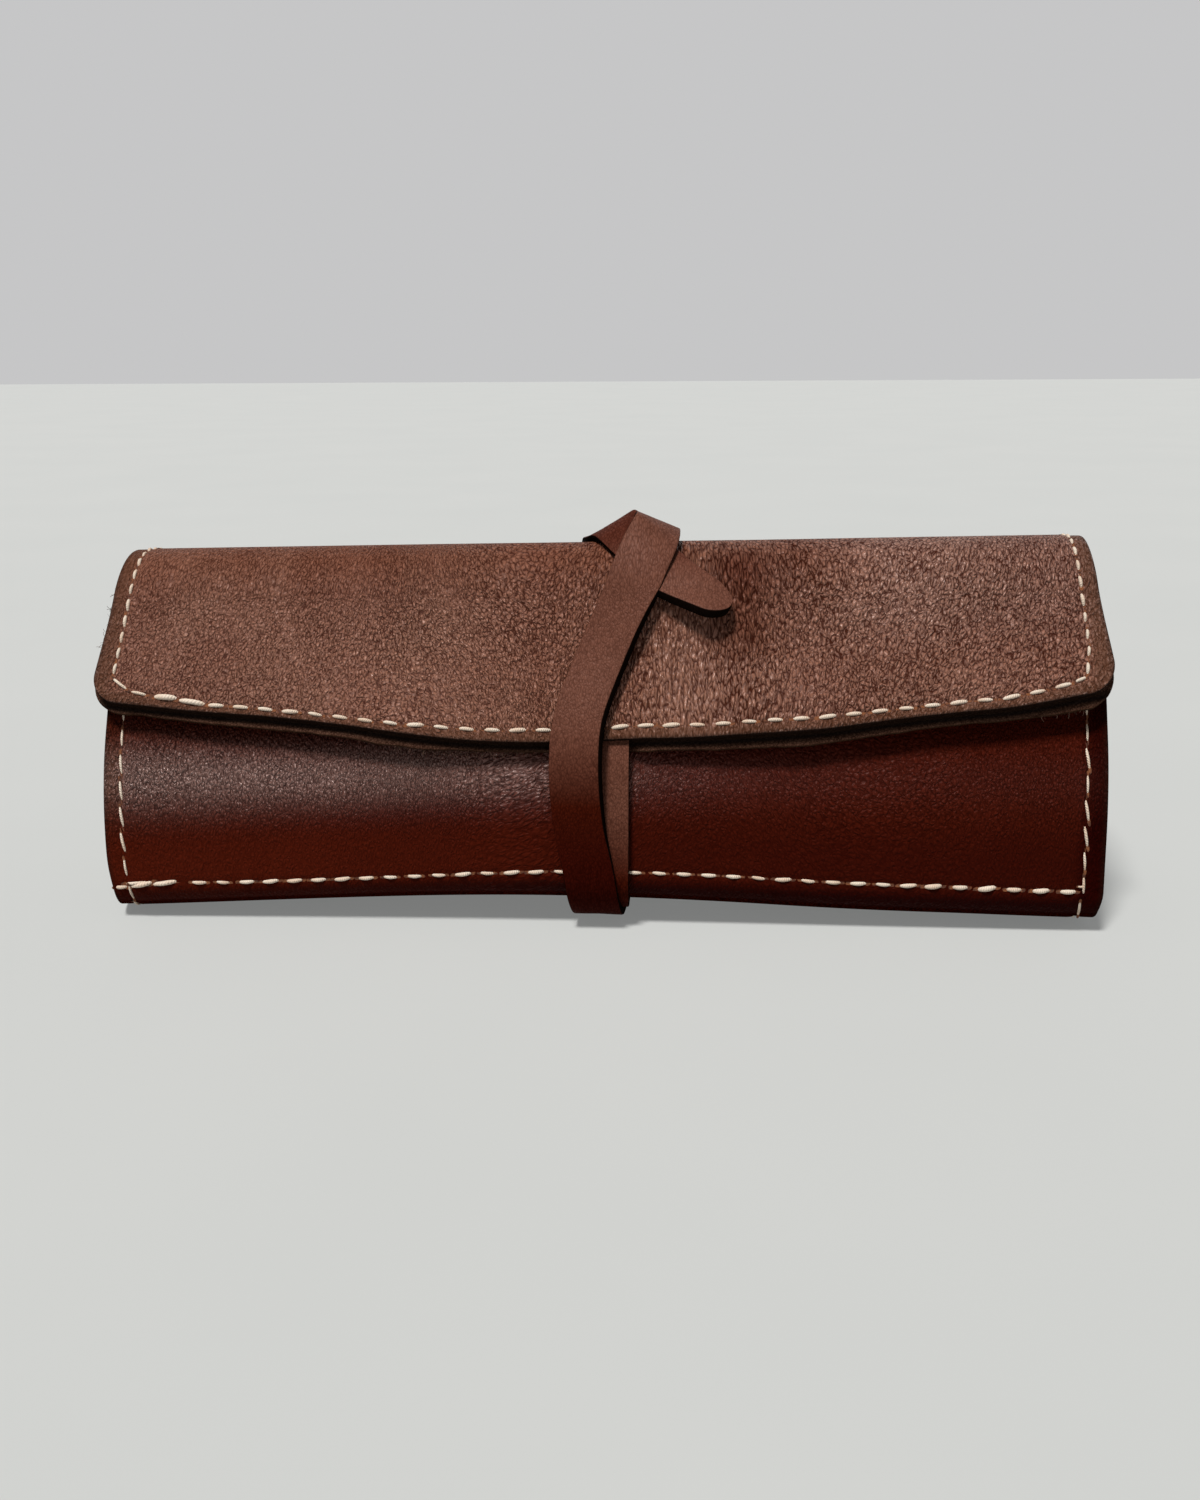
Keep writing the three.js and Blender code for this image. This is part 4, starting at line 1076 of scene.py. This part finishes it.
def along_lines(name, tree, lines, values):
    """A plain mesh of what the tree lays along lines. Each line has its points, the ways off the leather,
    how heavy and far apart the stitches are against the usual ones, how far they lean across the line and how
    long they are."""
    counts = [len(line[0]) for line in lines]
    starts = np.cumsum([0] + counts)
    edges = [(start + i, start + i + 1)
             for start, count in zip(starts.tolist(), counts) for i in range(count - 1)]
    mesh = bpy.data.meshes.new(name + "_line")
    mesh.from_pydata(np.concatenate([line[0] for line in lines]).tolist(), edges, [])
    away = np.concatenate([line[1] for line in lines]).astype(np.float32).ravel()
    mesh.attributes.new("away", "FLOAT_VECTOR", "POINT").data.foreach_set("vector", away)
    for column, mark in enumerate(("heavy", "spread", "lean", "long"), 2):
        marks = np.repeat([line[column] for line in lines], counts)
        mesh.attributes.new(mark, "FLOAT", "POINT").data.foreach_set("value", marks.astype(np.float32))
    guide = bpy.data.objects.new(name + "_line", mesh)
    bpy.context.scene.collection.objects.link(guide)
    modifier = guide.modifiers.new("laid", "NODES")
    modifier.node_group = tree
    for item in tree.interface.items_tree:
        if item.item_type == "SOCKET" and item.in_out == "INPUT" and item.name in values:
            modifier[item.identifier] = values[item.name]
    bpy.context.view_layer.update()
    graph = bpy.context.evaluated_depsgraph_get()
    made = bpy.data.meshes.new_from_object(guide.evaluated_get(graph), depsgraph=graph)
    made.name = name
    bpy.data.objects.remove(guide)
    bpy.data.meshes.remove(mesh)
    ob = bpy.data.objects.new(name, made)
    bpy.context.scene.collection.objects.link(ob)
    return ob


def unit(ways):
    return ways / np.linalg.norm(ways, axis=1, keepdims=True)


def on_face(s, x, face, side=1.0, heavy=1.0, spread=1.0, lean=0.0, long=1.0):
    """A seam's line on a face."""
    s, x = np.broadcast_arrays(np.asarray(s, float), np.asarray(x, float))
    offset = face(s, x)
    here = to_metres(s, x, offset)
    away = (to_metres(s, x, offset + 0.5) - here) * side
    return here, unit(away), heavy, spread, lean, spread * long


SEAM_STEP, STITCH_LENGTH = 1.2, 4.0


def inner_face(s, x):
    return lining_face(s, x) - LINING_LEATHER


def rows_between(first, last):
    return np.linspace(first, last, max(3, int(abs(last - first) / SEAM_STEP) + 1))


def side_row(first, last, sign, face, side, **kind):
    s = rows_between(first, last)
    return on_face(s, sign * side_row_x(s, sign), face, side, **kind)


def side_rows(first, last, face, side, **kind):
    return [side_row(first, last, sign, face, side, **kind) for sign in (-1, 1)]


def long_row(s_of, first, last, face, side, **kind):
    x = rows_between(first, last)
    return on_face(s_of(x), x, face, side, **kind)


def single_stitches(ends, s_shift, face, side):
    """Stitches that were sewn one by one."""
    lines = []
    for start, end, heavy in ends:
        start, end = np.add(start, (s_shift, 0.0)), np.add(end, (s_shift, 0.0))
        middle, half = (start + end) / 2, (end - start) / 2
        s, x = np.stack([middle - 0.02 * half, middle + 0.02 * half], 1)
        lines.append(on_face(s, x, face, side, heavy, long=2 * float(np.hypot(*half)) / STITCH_LENGTH))
    return lines


def top_row_s(x):
    return -FRONT_HEIGHT + STITCH_INSET + 0 * x


# Stitches that were sewn one by one at the corners: start, end and weight
FRONT_ENDS = [((-4.3, -114.4), (-4.5, -110.9), 0.95), ((-4.6, -110.6), (-5.3, -104.9), 1.25),
              ((-5.2, -111.6), (-5.5, -106.0), 0.9), ((-4.8, -105.0), (-5.6, -98.5), 1.25),
              ((-7.1, 108.9), (-7.0, 111.0), 0.6)]
FLAP_ENDS = [((-49.5, -109.9), (-47.0, -106.4), 0.75), ((-46.4, -105.6), (-45.8, -101.4), 0.85),
             ((-45.5, -99.7), (-44.7, -94.4), 1.35), ((-44.5, -94.2), (-43.5, -87.3), 1.3),
             ((-47.8, 105.7), (-48.7, 108.2), 0.8)]


def seam_lines(panel, face, side):
    if panel == "front":
        lines = side_rows(MID_BASE, -FRONT_HEIGHT + STITCH_INSET + 1, face, side,
                          heavy=0.7, spread=1.027, lean=0.09, long=1.2)
        lines += [long_row(seam_s, -93.2, 71.2, face, side, spread=0.98),
                  long_row(top_row_s, -108, 108, face, side),
                  long_row(seam_s, 76.8, 107.0, face, side, heavy=1.3, spread=1.06, lean=0.1)]
        return lines + single_stitches(FRONT_ENDS, 0.0, face, side)
    if panel == "flap":
        lines = [long_row(edge_row_s, -85.2, 103, face, side, spread=1.015)]
        lines += [side_row(MID_TOP, AROUND + end, sign, face, side, heavy=0.9, spread=0.69, long=1.1)
                  for sign, end in ((-1, -52.0), (1, -50.8))]
        return lines + single_stitches(FLAP_ENDS, AROUND, face, side)
    first, last = {"back": (MID_BASE, MID_BACK), "top": (MID_BACK, MID_TOP)}[panel]
    return side_rows(first, last, face, side)


STITCH_SIZES = {"Pitch": 0.00565, "Stitch Length": STITCH_LENGTH * MM, "Thread Width": 0.0009,
                "Stitch Height": 0.0005, "Hole Width": 0.0012, "Thread": thread, "Hole": needle_hole}
stitches = {}
for order, panel in enumerate(PANELS):
    lines = seam_lines(panel, outer_face, 1.0) + seam_lines(panel, inner_face, -1.0)
    stitches[panel] = along_lines(f"stitches_{panel}", STITCH_ROW, lines, {**STITCH_SIZES, "Seed": 3 + order})


def edge_line(s, x, depth, away_s, away_x):
    """A line on a cut edge, depth under the outer face, with its fibres pointing along (away_s, away_x)."""
    s, x = np.broadcast_arrays(np.asarray(s, float), np.asarray(x, float))
    offset = outer_face(s, x) - depth
    here = to_metres(s, x, offset)
    away = to_metres(s + away_s * 0.5, x + away_x * 0.5, offset - 0.15) - here
    return here, unit(away), 1.0, 1.0, 0.0, 1.0


frayed_x, frayed_corner = rows_between(-44, -12), rows_between(98, 108)
lining_edge, lining_corner = (flap_line(x) + LINING_SHOWS(x) for x in (frayed_x, frayed_corner))
fray_lines = [
    edge_line(lining_edge, frayed_x, 2.7, 1, 0),
    edge_line(lining_edge, frayed_x, 3.3, 1, 0),
    edge_line(rows_between(RIDGE + 6, RIDGE + 20), -HALF, 1.3, 0, -1),
    edge_line(lining_corner - 0.3, frayed_corner, 3.2, 1, 0.2),
]
FIBRE_SIZES = {"Spacing": 0.00055, "Fibre Length": 0.0013, "Fibre Width": 0.00008, "Seed": 21, "Fibre": fibre}
fray = along_lines("frayed_fibres_flap", FRAYED_EDGE, fray_lines, FIBRE_SIZES)

# Ring bar: a stuffed bar on a strip, with a press stud at its free end

LINING_TOP = BASE_LIFT + SHEET
BAR_Y = 4.0 + MIDDLE_Y
STRIP_BOTTOM, STRIP_TOP, STRIP_HALF_WIDTH, STRIP_END_RADIUS = 11.75, 13.15, 7.0, 6.0
BAR_RADIUS, BAR_HALF = 7.0, 50.0
HINGE_X, STRIP_END, ANCHOR_LENGTH = -56.0, 68.0, 12.0


def stuffed_bar():
    turns, stops = 56, 150
    x = BAR_HALF * np.sin(np.linspace(-1, 1, stops) * math.pi / 2 * 0.999)
    cap = np.clip((BAR_HALF - np.abs(x)) / BAR_RADIUS, 0, 1)
    radius = BAR_RADIUS * np.sqrt(np.clip(1 - (1 - cap) ** 2, 0.0005, 1))
    angle = np.linspace(0, 2 * math.pi, turns, endpoint=False)
    grid_x, grid_a = np.meshgrid(x, angle)
    pucker = 0.28 * np.cos(grid_a * 9) * hump(BAR_HALF - np.abs(grid_x), 4.5)
    lumps = 0.22 * WAVE(grid_x / 13, grid_a * 64 / (2 * math.pi) / 11)
    seam = -0.55 * hump(np.minimum(grid_a, 2 * math.pi - grid_a) * BAR_RADIUS, 0.9)
    r = radius * (1 + (pucker + lumps * 0.8 + seam) / BAR_RADIUS)
    y = BAR_Y + r * np.cos(grid_a)
    z = np.maximum(STRIP_TOP + 0.2 + BAR_RADIUS + r * np.sin(grid_a), STRIP_TOP + 0.12)
    points = np.stack([grid_x, y, z], -1).reshape(-1, 3) * MM
    index = np.arange(turns * stops).reshape(turns, stops)
    after = np.roll(index, -1, axis=0)
    faces = np.stack([index[:, :-1], index[:, 1:], after[:, 1:], after[:, :-1]], -1).reshape(-1, 4).tolist()
    faces += [index[:, 0].tolist(), index[::-1, -1].tolist()]
    uv = np.stack([grid_x.ravel() / 10, (grid_a * BAR_RADIUS / 10).ravel()], -1)
    plain = np.zeros(len(points))
    return new_object("ring_bar_stuffed", points, faces, None, uv, {"edge": plain, "flesh": plain})


def level_place(y, x, z):
    return np.stack([x, y, z], -1) * MM


def flat_slab(name, x0, x1, bottom, top, bevel=0.35, end_round=0.0):
    """A slab of leather that lies level along the ring bar, with a round end if asked for."""
    xs = spaced([x0, x1], [SLAB_STEP])
    if end_round:
        xs = np.concatenate([spaced([x0, x1 - end_round], [SLAB_STEP])[:-1], round_end(x1, end_round, 12)])

    def lay(across, along, inset):
        beyond = np.maximum(0, along - (x1 - end_round)) / max(end_round, 1)
        reach = STRIP_HALF_WIDTH * np.sqrt(np.clip(1 - beyond**2, 0.01, 1)) - inset
        x = np.clip(along, x0 + inset, x1 - inset)
        return BAR_Y + np.maximum(reach, 0.2) * across, x, top + 0.06 * WAVE(x / 8, 0 * x + 5)

    across = np.concatenate([[-1, -0.94], np.linspace(-0.8, 0.8, 9), [0.94, 1]])
    return leather_shell(name, across, xs, lay, even(top - bottom), bevel, margin=no_margin, look=plain_look,
                         place=level_place, napped=0.0)


ring_bar = stuffed_bar()
ring_strip = flat_slab("ring_bar_strip_leather", HINGE_X + 0.4, STRIP_END, STRIP_BOTTOM, STRIP_TOP,
                       end_round=STRIP_END_RADIUS)
ring_anchor = flat_slab("ring_bar_anchor_leather", HINGE_X - ANCHOR_LENGTH, HINGE_X, LINING_TOP + 0.1,
                        STRIP_TOP, bevel=0.5)
wear(ring_leather, ring_bar, ring_strip, ring_anchor)


def level_line(x, y):
    """A line on top of the anchor."""
    x, y = np.broadcast_arrays(np.asarray(x, float), np.asarray(y, float))
    here = level_place(y, x, np.full(x.shape, STRIP_TOP + 0.02))
    return here, np.tile([0.0, 0.0, 1.0], (len(x), 1)), 1.0, 1.0, 0.0, 1.0


RING_STITCHES = {**STITCH_SIZES, "Pitch": 0.0034, "Stitch Length": 0.0024, "Thread Width": 0.0007,
                 "Stitch Height": 0.0004, "Hole Width": 0.0008, "Seed": 9}
anchor_box = [level_line([HINGE_X - 10.2, HINGE_X - 6, HINGE_X - 1.8], BAR_Y + y) for y in (-5.2, 5.2)]
anchor_box += [level_line(HINGE_X - 10.2, BAR_Y + np.linspace(-3.4, 3.4, 3))]
ring_stitches = along_lines("stitches_ring_anchor", STITCH_ROW, anchor_box, RING_STITCHES)

wear(brass, *(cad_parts[node] for node in ("snap_cap", "snap_socket", "snap_stud")))

# What each piece stands for, and what the ring bar's pieces ride on


def bend(fold, offset):
    """Start and end of a fold's bend on the sheet, from its first body to its second."""
    return [Vector(to_metres(s, 0.0, offset)) for s in fold]


FOLDS = {
    "front": ("base", "front", bend((FOLD_SPANS[0][1] + 2, -FOLD_SPANS[0][1] - 2), 0)),
    "back": ("base", "back", bend(FOLD_SPANS[1], 0)),
    "top": ("back", "top", bend(FOLD_SPANS[2], 0)),
    "flap": ("top", "flap", bend((FOLD_SPANS[3][0] - 1, FOLD_SPANS[3][1] + 4), FLAP_STACK)),
}
REPLACED = {
    "front": (["outer_front", "outer_base"], ["lining_front", "lining_base"],
              ["seam_front", "seam_pocket", "seam_base_left", "seam_base_right"]),
    "back": (["outer_back"], ["lining_back"], ["seam_back_left", "seam_back_right"]),
    "top": (["outer_top"], ["lining_top"], ["seam_top_left", "seam_top_right"]),
    "flap": (["outer_flap"], ["lining_flap"], ["seam_flap"]),
}
for panel, (first, second, (start, end)) in FOLDS.items():
    kinds = ((leather[panel], "outer_leather"), (lining[panel], "lining_leather"),
             (stitches[panel], "thread"))
    for (ob, slot), nodes in zip(kinds, REPLACED[panel]):
        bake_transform(ob)
        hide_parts(*nodes)
first, second, (start, end) = FOLDS["flap"]
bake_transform(fray)

for panel in ("front", "back"):
    first, second, (start, end) = FOLDS[panel]
    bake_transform(pockets[panel])
    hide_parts(f"pocket_{panel}")

STRAP_NODES = ["strap_root", *(f"{body}_run" for body in STRAP_BODIES[1:-1]), "strap_tip"]
STRAP_BENDS = [(FLAP_EDGE - 2, FLAP_EDGE + 6)]
for k in (1, 2):
    STRAP_BENDS += [(turn(k, -7), turn(k, 7))] + [tuple(turn(k, s) for s in FOLD_SPANS[i]) for i in (1, 2)]
    STRAP_BENDS += [(turn(k, FOLD_SPANS[3][0] - 2), turn(k, FOLD_SPANS[3][1] + 2))]
for number, ob in enumerate(strap):
    start, end = (Vector(to_metres(s, 0.0, route_at(length_at(s), 2))) for s in STRAP_BENDS[number])
    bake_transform(ob)
    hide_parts(*(STRAP_NODES[:2] if number == 0 else STRAP_NODES[number + 1:number + 2]))

for ob, body, node in ((ring_bar, "ring_bar", "ring_bar"), (ring_strip, "ring_bar", "ring_bar_strip"),
                       (ring_anchor, "base", "ring_bar_anchor")):
    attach(ob, body)
    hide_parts(node)
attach(ring_stitches, "base")

for panel, rows in (("front", FRONT_ROWS), ("back", BACK_ROWS), ("top", TOP_ROWS)):
    length = float(rows[-1] - rows[0]) * MM
flap_long = float(flap_line(-14.0) - MID_TOP) * MM
flap_lengths = np.interp(np.linspace(-HALF, HALF, 400), COLUMNS, flap_line(COLUMNS) - MID_TOP)
for panel, (foot, mouth) in POCKET_ENDS.items():
    abs(mouth - foot) * MM

# Stage, light and camera


def seen_directly(n):
    """1 for rays from the camera, also by way of a mirror or glass."""
    camera_ray, glossy, through = n.add(
        "ShaderNodeLightPath", None, ("Is Camera Ray", "Is Glossy Ray", "Is Transmission Ray"))
    return n.maths("MAXIMUM", camera_ray, n.maths("MAXIMUM", glossy, through))


FLOOR_REACH, FLOOR_Z = 4.0, -0.0001
floor_corners = np.array([[-1, -1, 0], [1, -1, 0], [1, 1, 0], [-1, 1, 0]]) * FLOOR_REACH + (0, 0, FLOOR_Z)
floor = new_object("floor", floor_corners, [[0, 1, 2, 3]], [False], closed=False)
floor_paint, n, shader = new_material("pale_table")
cloud = n.noise(n.object_place(), 9.0, 5.0)
n.fill(shader, {"Base Color": n.mixed(cloud, (0.435, 0.445, 0.435, 1), (0.475, 0.48, 0.467, 1)),
                "Roughness": 0.8, "Emission Color": (0.98, 1.0, 0.985, 1),
                "Emission Strength": seen_directly(n) * 0.19})
wear(floor_paint, floor)

sun = bpy.data.lights.new("window", "SUN")
sun.energy, sun.angle, sun.color = 3.1, math.radians(12), (1.0, 0.99, 0.97)
window = bpy.data.objects.new("window", sun)
window.location = (-0.22, -0.46, 1.06)
window.rotation_mode = "QUATERNION"
window.rotation_quaternion = (-window.location).to_track_quat("-Z", "Y")
bpy.context.scene.collection.objects.link(window)

world = bpy.data.worlds.new("pale_room")
bpy.context.scene.world = world
world.use_nodes = True
world.node_tree.nodes.clear()
n = Nodes(world.node_tree)
seen = n.add("ShaderNodeBackground", {"Color": (0.565, 0.565, 0.57, 1), "Strength": 1.0})
glow = n.add("ShaderNodeBackground", {"Color": (0.94, 0.97, 1.0, 1), "Strength": 0.09})
either = n.add("ShaderNodeMixShader", {0: seen_directly(n), 1: glow, 2: seen})
n.add("ShaderNodeOutputWorld", {"Surface": either}, None)

YAW, ELEVATION, ROLL, DISTANCE = math.radians(3.49), math.radians(15.55), math.radians(-0.388), 0.36694
LOOKED_AT = Vector((0, 0, 0.0346))
camera_data = bpy.data.cameras.new("camera")
camera_data.sensor_width, camera_data.lens = 36.0, 36.0
camera_data.clip_start, camera_data.clip_end = 0.01, 20.0
camera = bpy.data.objects.new("camera", camera_data)
bpy.context.scene.collection.objects.link(camera)
level = Vector((math.cos(YAW), math.sin(YAW), 0))
away = Vector((math.sin(YAW), -math.cos(YAW), 0))
back = away * math.cos(ELEVATION) + Vector((0, 0, math.sin(ELEVATION)))
upright = back.cross(level)
right = level * math.cos(ROLL) + upright * math.sin(ROLL)
upward = upright * math.cos(ROLL) - level * math.sin(ROLL)
camera.location = LOOKED_AT + back * DISTANCE
camera.rotation_mode = "QUATERNION"
camera.rotation_quaternion = Matrix((right, upward, back)).transposed().to_quaternion()
bpy.context.scene.camera = camera

bpy.context.scene.view_settings.view_transform = "Standard"
